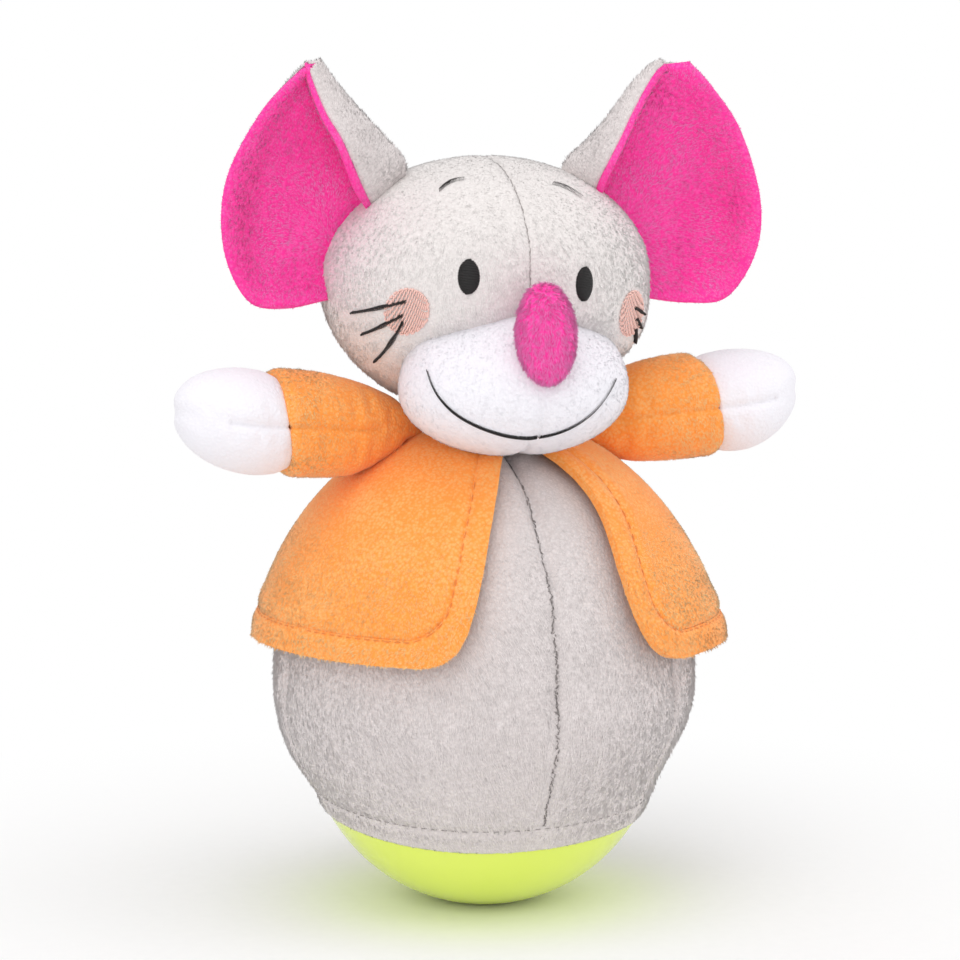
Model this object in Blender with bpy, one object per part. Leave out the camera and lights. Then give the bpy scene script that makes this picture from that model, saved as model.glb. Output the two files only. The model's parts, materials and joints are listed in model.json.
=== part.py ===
"""Plush roly-poly mouse on a weighted rocker base.

The toy stands on the XY plane at the origin and faces -Y, so its own left is +X.
Sizes below are in millimetres. Vertices are turned into metres as they are made.
"""

import math

import bmesh
import bpy
from mathutils import Matrix, Vector

MM = 0.001

# Hard capsule: rocker bowl below, dome above, lapped together at the rim
BOWL_RADIUS = 44.5
CAPSULE_WALL = 2.5
REST_FLAT_DIAMETER = 18.0
BOWL_FLOOR = 2.5
LAP_DEPTH = 3.0
BOSS_RADIUS = 5.0
BOSS_HEIGHT = 7.5
BALLAST_HEIGHT = 17.2

# Ballast screw and chime
SCREW_RADIUS = 1.5
SCREW_HEAD_RADIUS = 3.6
SCREW_HEAD_HEIGHT = 2.2
SCREW_REACH = 5.0
CHIME_BASE_RADIUS = 20.0
CHIME_BASE_HEIGHT = 3.0
CHIME_ROD_RADIUS = 1.5
CHIME_ROD_SPREAD = 15.0
CHIME_SOCKET_DEPTH = 2.0
CHIME_ROD_LENGTHS = {"high": 34.0, "low": 38.0}
CLAPPER_DROP = 32.0
CLAPPER_BOB_RADIUS = 6.5
CLAPPER_STEM_RADIUS = 1.2
CLAPPER_HUB_RADIUS = 3.0
CLAPPER_HUB_WIDTH = 4.0
PIN_RADIUS = 1.0
PIN_LUG_WIDTH = 7.0
PIN_LUG_THICKNESS = 2.0
PIN_BELOW_DOME = 6.0

# Stuffed body
BODY_PADDING = 9.1
BODY_WIDEST_ABOVE_RIM = 16.0
BODY_TOP_HEIGHT = 119.0
HEM_HEIGHT = 20.5
HEM_THICKNESS = 1.9
HEM_CASING_RISE = 3.2
ELASTIC_DIAMETER = 1.0
COVER_THICKNESS = 1.5
STUFFING_THICKNESS = 3.0
NECK_HOLE_RADIUS = 12.3

# Head, with its rest turn as photographed
HEAD_HALF_WIDTH = 41.5
HEAD_HALF_DEPTH = 39.0
HEAD_CROWN = 30.0
HEAD_JOWL = 35.0
HEAD_ABOVE_BODY = 3.0
HEAD_TURN_DEGREES = -6.2

# Muzzle and nose, measured from the head's centre
MUZZLE_HALF_SIZE = (28.4, 26.0, 18.0)
MUZZLE_FORWARD = 23.7
MUZZLE_DROP = 22.8
MUZZLE_BACK_SEAM = 13.0
NOSE_HALF_SIZE = (8.2, 7.0, 13.0)
NOSE_STAND_OFF = 4.5
NOSE_RISE_ON_MUZZLE = 11.8
NOSE_LEAN_DEGREES = 12.0

# Ears, measured from the head's side and centre
EAR_HALF_WIDTH = 21.5
EAR_HALF_HEIGHT = 31.0
EAR_CENTRE_OUT = 7.5
EAR_CENTRE_RISE = 22.0
EAR_TIP_FORWARD = 10.0
EAR_LEAN_DEGREES = 9.0
EAR_SEAM_RISE = 7.0
EAR_SEAM_FORWARD = 5.0
EAR_FOLD_DEGREES = (-15.0, 35.0)
EAR_THICKNESS = 5.0
EAR_RIM_THICKNESS = 2.2
EAR_CUP_DEPTH = 6.0

# Embroidery, as places on the head's or the muzzle's front: (out from the middle, up)
THREAD_HEIGHT = 0.7
EYE_PLACE = (14.3, 0.8)
EYE_SIZE = (4.6, 7.7)
CHEEK_PLACE = (27.5, -6.6)
CHEEK_SIZE = (8.0, 10.8)
BROW_ENDS = ((10.4, 23.4), (17.6, 20.3))
BROW_WIDTH = 1.0
WHISKER_WIDTH = 1.3
WHISKER_ENDS = {
    "upper": ((29.2, -4.6), (37.2, -7.5)),
    "middle": ((29.3, -7.7), (35.1, -13.5)),
    "lower": ((28.3, -9.6), (31.2, -19.4)),
}
MOUTH_HALF_WIDTH = 22.0
MOUTH_RISE = 14.0
MOUTH_ABOVE_MUZZLE_FOOT = 5.2
MOUTH_GAP = 1.2
MOUTH_WIDTH = 1.6

# Jacket
JACKET_THICKNESS = 1.6
JACKET_NECK_HEIGHT = 112.0
JACKET_HEM_HEIGHT = 68.0
JACKET_EASE = 0.5
JACKET_FLARE_FRONT = 1.5
JACKET_FLARE_SIDE = 3.4
JACKET_OPENING_NECK_DEGREES = 10.0
JACKET_OPENING_HEM_DEGREES = 22.0
JACKET_CORNER_RADIUS = 11.0
JACKET_SIDE_SEAM_DEGREES = 76.0

# Arms, turned about their own length
SLEEVE_RADIUS = 13.0
CUFF_RADIUS = 13.4
SLEEVE_LENGTH = 19.2
SLEEVE_FULL_FROM_SHOULDER = 11.5
HAND_RADIUS = 13.0
HAND_LENGTH = 24.5
HAND_WIDEST_FROM_CUFF = 6.9
ARM_FORWARD_DEGREES = 10.0
ARM_BEHIND_FRONT = -2.0

# Clearances
FIT_GAP = 0.3
SEAM_GAP = 0.4
STUFFING_GAP = 0.8
CHIN_GAP = 0.5
SWING_GAP = 2.2

# Facets round each turned piece
CAPSULE_FACETS = 26
COVER_FACETS = 28
FILLING_FACETS = 20
ARM_FACETS = 18
EAR_RING_SHARES = (0.0, 0.45, 0.8, 1.0)
SMALL_FACETS = 12

SIDES = {"left": 1, "right": -1}


# Derived sizes that several pieces share

BOWL_CENTRE = math.sqrt(BOWL_RADIUS ** 2 - (REST_FLAT_DIAMETER / 2) ** 2)
CAPSULE_INNER = BOWL_RADIUS - CAPSULE_WALL
BALLAST_TOP = BOWL_FLOOR + FIT_GAP + BALLAST_HEIGHT
CHIME_BASE_BOTTOM = BALLAST_TOP + FIT_GAP
CHIME_BASE_TOP = CHIME_BASE_BOTTOM + CHIME_BASE_HEIGHT
PIN_HEIGHT = BOWL_CENTRE + CAPSULE_INNER - PIN_BELOW_DOME

BODY_RADIUS = BOWL_RADIUS + BODY_PADDING
BODY_WIDEST = BOWL_CENTRE + BODY_WIDEST_ABOVE_RIM
BODY_UP = BODY_TOP_HEIGHT - BODY_WIDEST


def bowl_radius_at(height):
    """Outer radius of the bowl's ball at a height."""
    return math.sqrt(BOWL_RADIUS ** 2 - (BOWL_CENTRE - height) ** 2)


HEM_RADIUS = bowl_radius_at(HEM_HEIGHT) + SEAM_GAP + HEM_THICKNESS
BODY_DOWN = (BODY_WIDEST - HEM_HEIGHT) / math.sqrt(1 - (HEM_RADIUS / BODY_RADIUS) ** 2)


def chin_lift(head_centre):
    """How far the head has to rise for the muzzle's underside to clear the body."""
    half_y, half_z = MUZZLE_HALF_SIZE[1:]
    reach = min(MUZZLE_FORWARD + half_y, BODY_RADIUS)
    lift = 0.0
    for step in range(41):
        forward = MUZZLE_BACK_SEAM + (reach - MUZZLE_BACK_SEAM) * step / 40
        round_off = math.sqrt(max(0.0, 1 - ((forward - MUZZLE_FORWARD) / half_y) ** 2))
        under = head_centre - MUZZLE_DROP - half_z * round_off
        top = BODY_WIDEST + BODY_UP * math.sqrt(max(0.0, 1 - (forward / BODY_RADIUS) ** 2))
        lift = max(lift, top + CHIN_GAP - under)
    return lift


LOWEST_HEAD_CENTRE = BODY_TOP_HEIGHT + HEAD_ABOVE_BODY + HEAD_JOWL
HEAD_CENTRE = LOWEST_HEAD_CENTRE + chin_lift(LOWEST_HEAD_CENTRE)
HEAD_HOLE_RADIUS = NECK_HOLE_RADIUS * max(1.0, HEAD_HALF_WIDTH / HEAD_HALF_DEPTH)
BODY_HOLE_HEIGHT = BODY_WIDEST + BODY_UP * math.sqrt(1 - (NECK_HOLE_RADIUS / BODY_RADIUS) ** 2)
HEAD_HOLE_HEIGHT = HEAD_CENTRE - HEAD_JOWL * math.sqrt(1 - (HEAD_HOLE_RADIUS / HEAD_HALF_WIDTH) ** 2)
NECK_CENTRE = (BODY_HOLE_HEIGHT + HEAD_HOLE_HEIGHT) / 2
NECK_RADIUS = math.hypot(NECK_HOLE_RADIUS - SEAM_GAP, (HEAD_HOLE_HEIGHT - BODY_HOLE_HEIGHT) / 2)


# Scene and mesh helpers

def clear_scene():
    """Remove whatever the scene holds."""
    for item in list(bpy.data.objects):
        bpy.data.objects.remove(item, do_unlink=True)


def make_material(name, colour, roughness, metallic=0.0):
    """A plain Principled material."""
    material = bpy.data.materials.new(name)
    material.use_nodes = True
    shader = material.node_tree.nodes["Principled BSDF"]
    shader.inputs["Base Color"].default_value = (*colour, 1.0)
    shader.inputs["Roughness"].default_value = roughness
    shader.inputs["Metallic"].default_value = metallic
    return material


def make_empty(name, location, turn_degrees=0.0):
    """An empty that carries pieces, at a place in millimetres."""
    empty = bpy.data.objects.new(name, None)
    empty.location = Vector(location) * MM
    empty.rotation_euler.z = math.radians(turn_degrees)
    bpy.context.collection.objects.link(empty)
    return empty


def make_object(name, shape, material, location=(0, 0, 0), turn_degrees=0.0, parent=None):
    """Turn a bmesh in millimetres into a named object with its faces pointing out."""
    bmesh.ops.recalc_face_normals(shape, faces=shape.faces)
    bmesh.ops.scale(shape, vec=(MM, MM, MM), verts=shape.verts)
    mesh = bpy.data.meshes.new(name)
    shape.to_mesh(mesh)
    shape.free()
    mesh.shade_smooth()
    mesh.set_sharp_from_angle(angle=math.radians(40))
    piece = bpy.data.objects.new(name, mesh)
    if material:
        mesh.materials.append(material)
    piece.location = Vector(location) * MM
    piece.rotation_euler.z = math.radians(turn_degrees)
    piece.parent = parent
    bpy.context.collection.objects.link(piece)
    return piece


def make_cutter(name, shape, location=(0, 0, 0), parent=None):
    """An object that only shapes others."""
    cutter = make_object(name, shape, None, location, parent=parent)
    cutter.hide_render = True
    cutter.display_type = "WIRE"
    return cutter


def combine(piece, other, operation):
    """Join another object to a piece, or cut it out."""
    modifier = piece.modifiers.new(other.name, "BOOLEAN")
    modifier.operation = operation
    modifier.object = other
    modifier.solver = "EXACT"


def arc_points(radius_r, radius_z, centre_z, start, end, count):
    """Profile points (r, z) on an ellipse, between two angles in radians."""
    points = []
    for step in range(count + 1):
        angle = start + (end - start) * step / count
        points.append((radius_r * math.cos(angle), centre_z + radius_z * math.sin(angle)))
    return points


def turned(profile, facets, depth_ratio=1.0):
    """Turn a closed profile of (r, z) points about Z, with points of zero radius on the axis."""
    shape = bmesh.new()
    rings = []
    for radius, height in profile:
        if radius < 1e-6:
            rings.append([shape.verts.new((0, 0, height))])
            continue
        ring = []
        for step in range(facets):
            angle = 2 * math.pi * step / facets
            place = (radius * math.cos(angle), radius * math.sin(angle) * depth_ratio, height)
            ring.append(shape.verts.new(place))
        rings.append(ring)
    for index, ring in enumerate(rings):
        following = rings[(index + 1) % len(rings)]
        if len(ring) == 1 and len(following) == 1:
            continue
        for step in range(facets):
            ahead = (step + 1) % facets
            corners = [ring[step % len(ring)], ring[ahead % len(ring)]]
            corners += [following[ahead % len(following)], following[step % len(following)]]
            shape.faces.new(list(dict.fromkeys(corners)))
    return shape


def ball(half_x, half_y, half_up, half_down, facets, rows):
    """A closed egg about its own centre."""
    upper = arc_points(half_x, half_up, 0, math.pi / 2, 0, rows)
    lower = arc_points(half_x, half_down, 0, 0, -math.pi / 2, rows)
    profile = [(0, half_up)] + upper[1:] + lower[1:-1] + [(0, -half_down)]
    return turned(profile, facets, half_y / half_x)


def rod(radius, length, facets, axis="Z"):
    """A cylinder about the origin, along Z or Y."""
    shape = bmesh.new()
    turn = Matrix.Rotation(math.pi / 2, 4, "X") if axis == "Y" else Matrix.Identity(4)
    bmesh.ops.create_cone(shape, cap_ends=True, segments=facets, radius1=radius, radius2=radius,
                          depth=length, matrix=turn)
    return shape


def closed_patch(outer, inner):
    """A solid between two grids of points that face each other."""
    shape = bmesh.new()
    grids = [[[shape.verts.new(point) for point in row] for row in grid] for grid in (outer, inner)]
    rows = len(outer)
    columns = len(outer[0])
    for grid in grids:
        for row in range(rows - 1):
            for column in range(columns - 1):
                shape.faces.new((grid[row][column], grid[row][column + 1],
                                 grid[row + 1][column + 1], grid[row + 1][column]))
    rim = [(0, column) for column in range(columns)]
    rim += [(row, columns - 1) for row in range(1, rows)]
    rim += [(rows - 1, column) for column in range(columns - 2, -1, -1)]
    rim += [(row, 0) for row in range(rows - 2, 0, -1)]
    for index, (row, column) in enumerate(rim):
        next_row, next_column = rim[(index + 1) % len(rim)]
        shape.faces.new((grids[0][row][column], grids[0][next_row][next_column],
                         grids[1][next_row][next_column], grids[1][row][column]))
    return shape


# Hard capsule and what it holds

def build_base_bowl(material):
    """Rocker bowl with a flat to stand on, a lapped rim and a boss for the ballast screw."""
    flat = REST_FLAT_DIAMETER / 2
    lip = (CAPSULE_WALL - FIT_GAP) / 2
    start = -math.acos(flat / BOWL_RADIUS)
    floor_angle = -math.asin((BOWL_CENTRE - BOWL_FLOOR) / CAPSULE_INNER)
    step_angle = -math.asin(LAP_DEPTH / CAPSULE_INNER)
    profile = [(0, 0)]
    profile += arc_points(BOWL_RADIUS, BOWL_RADIUS, BOWL_CENTRE, start, 0, 9)
    profile.append((BOWL_RADIUS - lip, BOWL_CENTRE))
    profile.append((BOWL_RADIUS - lip, BOWL_CENTRE - LAP_DEPTH))
    profile += arc_points(CAPSULE_INNER, CAPSULE_INNER, BOWL_CENTRE, step_angle, floor_angle, 7)
    profile.append((BOSS_RADIUS, BOWL_FLOOR))
    profile.append((BOSS_RADIUS, BOWL_FLOOR + BOSS_HEIGHT))
    hole = SCREW_RADIUS + FIT_GAP
    hole_bottom = BOWL_FLOOR + BOSS_HEIGHT - SCREW_REACH - FIT_GAP
    profile += [(hole, BOWL_FLOOR + BOSS_HEIGHT), (hole, hole_bottom), (0, hole_bottom)]
    return make_object("base_bowl", turned(profile, CAPSULE_FACETS), material)


def build_capsule_dome(material):
    """Upper half of the capsule, with two lugs under its top for the clapper's pin."""
    lip = (CAPSULE_WALL - FIT_GAP) / 2
    seat = BOWL_CENTRE + FIT_GAP
    lip_bottom = BOWL_CENTRE - LAP_DEPTH + FIT_GAP
    profile = [(0, BOWL_CENTRE + BOWL_RADIUS)]
    profile += arc_points(BOWL_RADIUS, BOWL_RADIUS, BOWL_CENTRE, math.pi / 2, FIT_GAP / BOWL_RADIUS, 7)[1:]
    profile += [(CAPSULE_INNER + lip, seat), (CAPSULE_INNER + lip, lip_bottom)]
    profile.append((CAPSULE_INNER, lip_bottom))
    profile += arc_points(CAPSULE_INNER, CAPSULE_INNER, BOWL_CENTRE, 0, math.pi / 2, 6)[:-1]
    profile.append((0, BOWL_CENTRE + CAPSULE_INNER))
    dome = make_object("capsule_dome", turned(profile, CAPSULE_FACETS), material)
    lug_bottom = PIN_HEIGHT - CLAPPER_HUB_RADIUS
    lug_top = BOWL_CENTRE + BOWL_RADIUS - CAPSULE_WALL / 2
    for side, sign in SIDES.items():
        lug = bmesh.new()
        middle = sign * (CLAPPER_HUB_WIDTH / 2 + FIT_GAP + PIN_LUG_THICKNESS / 2)
        place = Matrix.Translation((0, middle, (lug_bottom + lug_top) / 2))
        size = Matrix.Diagonal((PIN_LUG_WIDTH, PIN_LUG_THICKNESS, lug_top - lug_bottom, 1))
        bmesh.ops.create_cube(lug, size=1.0, matrix=place @ size)
        combine(dome, make_cutter(f"pin_lug_{side}", lug), "UNION")
    bore = rod(PIN_RADIUS + FIT_GAP, 2 * PIN_LUG_WIDTH, SMALL_FACETS, "Y")
    combine(dome, make_cutter("pin_bore", bore, (0, 0, PIN_HEIGHT)), "DIFFERENCE")
    return dome


def build_ballast(iron, steel):
    """Cast weight shaped to the bowl, and the screw that holds it and the chime base."""
    outer = CAPSULE_INNER - FIT_GAP
    bottom = BOWL_FLOOR + FIT_GAP
    start = -math.asin((BOWL_CENTRE - bottom) / outer)
    end = -math.asin((BOWL_CENTRE - BALLAST_TOP) / outer)
    hole = BOSS_RADIUS + FIT_GAP
    profile = [(hole, bottom)]
    profile += arc_points(outer, outer, BOWL_CENTRE, start, end, 6)
    profile.append((hole, BALLAST_TOP))
    make_object("ballast_weight", turned(profile, CAPSULE_FACETS), iron)
    head = CHIME_BASE_TOP + FIT_GAP
    tip = BOWL_FLOOR + BOSS_HEIGHT - SCREW_REACH
    profile = [(0, tip), (SCREW_RADIUS, tip), (SCREW_RADIUS, head), (SCREW_HEAD_RADIUS, head)]
    profile += [(SCREW_HEAD_RADIUS, head + SCREW_HEAD_HEIGHT), (0, head + SCREW_HEAD_HEIGHT)]
    make_object("ballast_screw", turned(profile, SMALL_FACETS), steel)


def build_chime(plastic, steel):
    """Chime base on the ballast, two rods in its sockets, and the clapper on its pin."""
    hole = SCREW_RADIUS + FIT_GAP
    profile = [(hole, CHIME_BASE_BOTTOM), (CHIME_BASE_RADIUS, CHIME_BASE_BOTTOM)]
    profile += [(CHIME_BASE_RADIUS, CHIME_BASE_TOP), (hole, CHIME_BASE_TOP)]
    base = make_object("chime_base", turned(profile, CAPSULE_FACETS), plastic)
    socket_floor = CHIME_BASE_TOP - CHIME_SOCKET_DEPTH
    for (note, length), sign in zip(CHIME_ROD_LENGTHS.items(), SIDES.values()):
        place = (sign * CHIME_ROD_SPREAD, 0, socket_floor)
        socket = rod(CHIME_ROD_RADIUS + FIT_GAP, 2 * CHIME_SOCKET_DEPTH, SMALL_FACETS)
        lifted = (place[0], 0, socket_floor + CHIME_SOCKET_DEPTH)
        combine(base, make_cutter(f"chime_socket_{note}", socket, lifted), "DIFFERENCE")
        middle = (place[0], 0, socket_floor + FIT_GAP + length / 2)
        make_object(f"chime_rod_{note}", rod(CHIME_ROD_RADIUS, length, SMALL_FACETS), steel, middle)
    pin_length = CLAPPER_HUB_WIDTH + 2 * FIT_GAP + 2 * PIN_LUG_THICKNESS
    make_object("clapper_pin", rod(PIN_RADIUS, pin_length, SMALL_FACETS, "Y"), steel, (0, 0, PIN_HEIGHT))
    stem_angle = math.acos(CLAPPER_STEM_RADIUS / CLAPPER_BOB_RADIUS)
    bob = arc_points(CLAPPER_BOB_RADIUS, CLAPPER_BOB_RADIUS, -CLAPPER_DROP, -math.pi / 2, stem_angle, 7)
    stem_top = -(PIN_RADIUS + CLAPPER_HUB_RADIUS) / 2
    profile = [(0, -CLAPPER_DROP - CLAPPER_BOB_RADIUS)] + bob[1:]
    profile += [(CLAPPER_STEM_RADIUS, stem_top), (0, stem_top)]
    clapper = make_object("clapper", turned(profile, SMALL_FACETS), plastic, (0, 0, PIN_HEIGHT))
    hub = rod(CLAPPER_HUB_RADIUS, CLAPPER_HUB_WIDTH, SMALL_FACETS, "Y")
    combine(clapper, make_cutter("clapper_hub", hub, (0, 0, PIN_HEIGHT)), "UNION")
    eye = rod(PIN_RADIUS + FIT_GAP, 2 * CLAPPER_HUB_WIDTH, SMALL_FACETS, "Y")
    combine(clapper, make_cutter("clapper_eye", eye, (0, 0, PIN_HEIGHT)), "DIFFERENCE")


# Stuffed body

def body_angle(height):
    """Angle on the body's upper outline at a height above its widest."""
    return math.asin((height - BODY_WIDEST) / BODY_UP)


def body_profile(inset, hole_radius, bottom, count):
    """Outline (r, z) of the body, drawn in by inset, from a bottom height up to the neck hole."""
    radius = BODY_RADIUS - inset
    up = BODY_UP - inset
    down = BODY_DOWN - inset
    lower = arc_points(radius, down, BODY_WIDEST, math.asin((bottom - BODY_WIDEST) / down), 0, count // 2)
    upper = arc_points(radius, up, BODY_WIDEST, 0, math.acos(hole_radius / radius), count)
    return lower + upper[1:]


def filling_bottom(inset):
    """Lowest height, from the capsule's rim up, at which the filling's faceted inside clears the dome."""
    height = BOWL_CENTRE
    while height < BODY_WIDEST:
        slope = math.sqrt(1 - ((BODY_WIDEST - height) / (BODY_DOWN - inset)) ** 2)
        inside = (BODY_RADIUS - inset) * slope * math.cos(math.pi / FILLING_FACETS)
        if inside > bowl_radius_at(height) + FIT_GAP:
            break
        height += FIT_GAP
    return height


def build_body(plush, filling, elastic):
    """Cover with a hem casing on the bowl, a hollow wad of filling and the hem's elastic."""
    casing_top = HEM_HEIGHT + HEM_CASING_RISE
    casing_depth = ELASTIC_DIAMETER + 2 * FIT_GAP
    outer = body_profile(0, NECK_HOLE_RADIUS, HEM_HEIGHT, 10)
    hem_rows = [HEM_HEIGHT, (HEM_HEIGHT + casing_top - casing_depth) / 2]
    hem_rows.append(hem_rows[-1] + casing_depth)
    hem_rows.append(casing_top)
    hem = [(bowl_radius_at(height) + SEAM_GAP, height) for height in hem_rows]
    pocket = [(bowl_radius_at(height) + casing_depth, height) for height in hem_rows[1:3]]
    hem[2:2] = pocket
    inner_bottom = casing_top + HEM_CASING_RISE
    inner = body_profile(COVER_THICKNESS, NECK_HOLE_RADIUS, inner_bottom, 8)
    cover = outer + inner[::-1] + hem[::-1]
    make_object("body_cover", turned(cover, COVER_FACETS), plush)
    inset = COVER_THICKNESS + STUFFING_GAP
    hole = NECK_HOLE_RADIUS + SEAM_GAP
    bottom = filling_bottom(inset + STUFFING_THICKNESS)
    wad = body_profile(inset, hole, bottom, 7)
    wad += body_profile(inset + STUFFING_THICKNESS, hole, bottom, 7)[::-1]
    make_object("body_stuffing", turned(wad, FILLING_FACETS), filling)
    middle = (hem_rows[1] + hem_rows[2]) / 2
    ring = ELASTIC_DIAMETER / 2
    reach = bowl_radius_at(middle) + FIT_GAP + ring
    section = [(reach + r, z) for r, z in arc_points(ring, ring, middle, 0, 2 * math.pi, 6)[:-1]]
    make_object("hem_elastic", turned(section, COVER_FACETS), elastic)


def build_neck(filling):
    """Round wad in the neck, between the body's hole and the head's."""
    neck = ball(NECK_RADIUS, NECK_RADIUS, NECK_RADIUS, NECK_RADIUS, 20, 5)
    make_object("neck_stuffing", neck, filling, (0, 0, NECK_CENTRE))


# Head. Its pieces share one frame, with the head's centre as origin

def head_surface(out, up, lift):
    """Point on the front of the head, raised by lift."""
    half_height = (HEAD_CROWN if up > 0 else HEAD_JOWL) + lift
    across = (out / (HEAD_HALF_WIDTH + lift)) ** 2 + (up / half_height) ** 2
    return Vector((out, -(HEAD_HALF_DEPTH + lift) * math.sqrt(max(0.0, 1 - across)), up))


def muzzle_surface(out, up, lift):
    """Point on the front of the muzzle, raised by lift, at a height from the muzzle's centre."""
    half_x, half_y, half_z = (size + lift for size in MUZZLE_HALF_SIZE)
    across = (out / half_x) ** 2 + (up / half_z) ** 2
    forward = MUZZLE_FORWARD + half_y * math.sqrt(max(0.0, 1 - across))
    return Vector((out, -forward, up - MUZZLE_DROP))


def head_profile(inset, hole_radius, count):
    """Outline (r, z) of the head, drawn in by inset, from its top to the neck hole."""
    radius = HEAD_HALF_WIDTH - inset
    upper = arc_points(radius, HEAD_CROWN - inset, 0, math.pi / 2, 0, count)
    lower = arc_points(radius, HEAD_JOWL - inset, 0, 0, -math.acos(hole_radius / radius), count)
    return [(0, HEAD_CROWN - inset)] + upper[1:] + lower[1:]


def build_head(parent, offset, plush, filling):
    """Head cover and its hollow wad of filling, both open at the neck."""
    ratio = HEAD_HALF_DEPTH / HEAD_HALF_WIDTH
    cover = head_profile(0, HEAD_HOLE_RADIUS, 6)
    cover += head_profile(COVER_THICKNESS, HEAD_HOLE_RADIUS, 5)[::-1]
    make_object("head_cover", turned(cover, COVER_FACETS, ratio), plush, offset, parent=parent)
    inset = COVER_THICKNESS + STUFFING_GAP
    hole = HEAD_HOLE_RADIUS + SEAM_GAP
    wad = head_profile(inset, hole, 4)
    wad += head_profile(inset + STUFFING_THICKNESS, hole, 4)[::-1]
    make_object("head_stuffing", turned(wad, FILLING_FACETS, ratio), filling, offset, parent=parent)


def build_muzzle_and_nose(parent, offset, head_cutter, white, pink):
    """Muzzle cut to the head, and an upright nose cut to the muzzle."""
    half_x, half_y, half_z = MUZZLE_HALF_SIZE
    place = Vector((0, -MUZZLE_FORWARD, -MUZZLE_DROP)) + offset
    muzzle = make_object("muzzle", ball(half_x, half_y, half_z, half_z, 24, 5), white, place, parent=parent)
    combine(muzzle, head_cutter, "DIFFERENCE")
    behind = bmesh.new()
    size = Matrix.Diagonal((4 * half_x, 4 * half_y, 6 * half_z, 1))
    bmesh.ops.create_cube(behind, size=1.0, matrix=size)
    back = Vector((0, 2 * half_y - MUZZLE_BACK_SEAM, -MUZZLE_DROP)) + offset
    combine(muzzle, make_cutter("muzzle_back_cutter", behind, back, parent), "DIFFERENCE")
    wide = [size + SEAM_GAP for size in MUZZLE_HALF_SIZE]
    shape = ball(wide[0], wide[1], wide[2], wide[2], 24, 5)
    muzzle_cutter = make_cutter("muzzle_cutter", shape, place, parent)
    nose_x, nose_y, nose_z = NOSE_HALF_SIZE
    seat = muzzle_surface(0, NOSE_RISE_ON_MUZZLE, NOSE_STAND_OFF) + offset
    shape = ball(nose_x, nose_y, nose_z, nose_z, 16, 4)
    lean = Matrix.Rotation(math.radians(-NOSE_LEAN_DEGREES), 4, "X")
    bmesh.ops.transform(shape, matrix=lean, verts=shape.verts)
    nose = make_object("nose", shape, pink, seat, parent=parent)
    combine(nose, muzzle_cutter, "DIFFERENCE")
    return muzzle_cutter


def ear_layer(sign, front, back, hinge):
    """One dished layer of an ear, between two shares of its thickness, about its hinge point."""
    shape = bmesh.new()
    lean = math.radians(EAR_LEAN_DEGREES)
    centre = Vector((HEAD_HALF_WIDTH + EAR_CENTRE_OUT, 0, EAR_CENTRE_RISE))
    facets = 20
    grids = []
    for share in (front, back):
        rings = []
        for reach in EAR_RING_SHARES:
            thickness = EAR_RIM_THICKNESS + (EAR_THICKNESS - EAR_RIM_THICKNESS) * (1 - reach ** 3)
            ring = []
            for step in range(facets if reach else 1):
                angle = 2 * math.pi * step / facets
                wide = EAR_HALF_WIDTH * reach * math.cos(angle)
                high = EAR_HALF_HEIGHT * reach * math.sin(angle)
                out = wide * math.cos(lean) - high * math.sin(lean)
                up = wide * math.sin(lean) + high * math.cos(lean)
                forward = EAR_CUP_DEPTH * reach ** 2
                forward += EAR_TIP_FORWARD * max(0.0, up / EAR_HALF_HEIGHT) ** 2
                place = centre + Vector((out, share * thickness - forward, up))
                ring.append(shape.verts.new(Vector((place.x * sign, place.y, place.z)) - hinge))
            rings.append(ring)
        for inner, outer in zip(rings, rings[1:]):
            for step in range(facets):
                ahead = (step + 1) % facets
                corners = [inner[step % len(inner)], outer[step], outer[ahead], inner[ahead % len(inner)]]
                shape.faces.new(list(dict.fromkeys(corners)))
        grids.append(rings[-1])
    for step in range(facets):
        ahead = (step + 1) % facets
        shape.faces.new((grids[0][step], grids[0][ahead], grids[1][ahead], grids[1][step]))
    return shape


def head_cutter_shape():
    """The head, grown by the gap that its neighbours keep to it."""
    wide = HEAD_HALF_WIDTH + SEAM_GAP
    deep = HEAD_HALF_DEPTH + SEAM_GAP
    return ball(wide, deep, HEAD_CROWN + SEAM_GAP, HEAD_JOWL + SEAM_GAP, COVER_FACETS, 6)


def ear_hinge(sign):
    """A point on an ear's seam and the axis about which the ear folds forward."""
    rise = EAR_SEAM_RISE / HEAD_CROWN
    forward = EAR_SEAM_FORWARD / HEAD_HALF_DEPTH
    out = HEAD_HALF_WIDTH * math.sqrt(1 - rise ** 2 - forward ** 2)
    along = Vector((HEAD_HALF_WIDTH * rise, 0, -sign * HEAD_CROWN * math.sqrt(1 - rise ** 2)))
    return Vector((sign * out, -EAR_SEAM_FORWARD, EAR_SEAM_RISE)), along.normalized()


def build_ears(parent, offset, head_cutter, plush, pink):
    """Ears of two layers, with roots cut to the head at rest and at both ends of their fold."""
    gap_share = FIT_GAP / EAR_RIM_THICKNESS / 2
    for side, sign in SIDES.items():
        hinge, axis = ear_hinge(sign)
        cutters = [head_cutter]
        for end, fold in zip(("back", "forward"), EAR_FOLD_DEGREES):
            shape = head_cutter_shape()
            turn = Matrix.Rotation(math.radians(-fold), 4, axis)
            turn = Matrix.Translation(hinge) @ turn @ Matrix.Translation(-hinge)
            bmesh.ops.transform(shape, matrix=turn, verts=shape.verts)
            cutters.append(make_cutter(f"head_cutter_{side}_{end}", shape, offset, parent))
        layers = {"lining": (-0.5, -gap_share, pink), "back": (gap_share, 0.5, plush)}
        for layer, (front, back, material) in layers.items():
            shape = ear_layer(sign, front, back, hinge)
            ear = make_object(f"ear_{layer}_{side}", shape, material, hinge + offset, parent=parent)
            for cutter in cutters:
                combine(ear, cutter, "DIFFERENCE")


# Embroidery on the head and the muzzle

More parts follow.
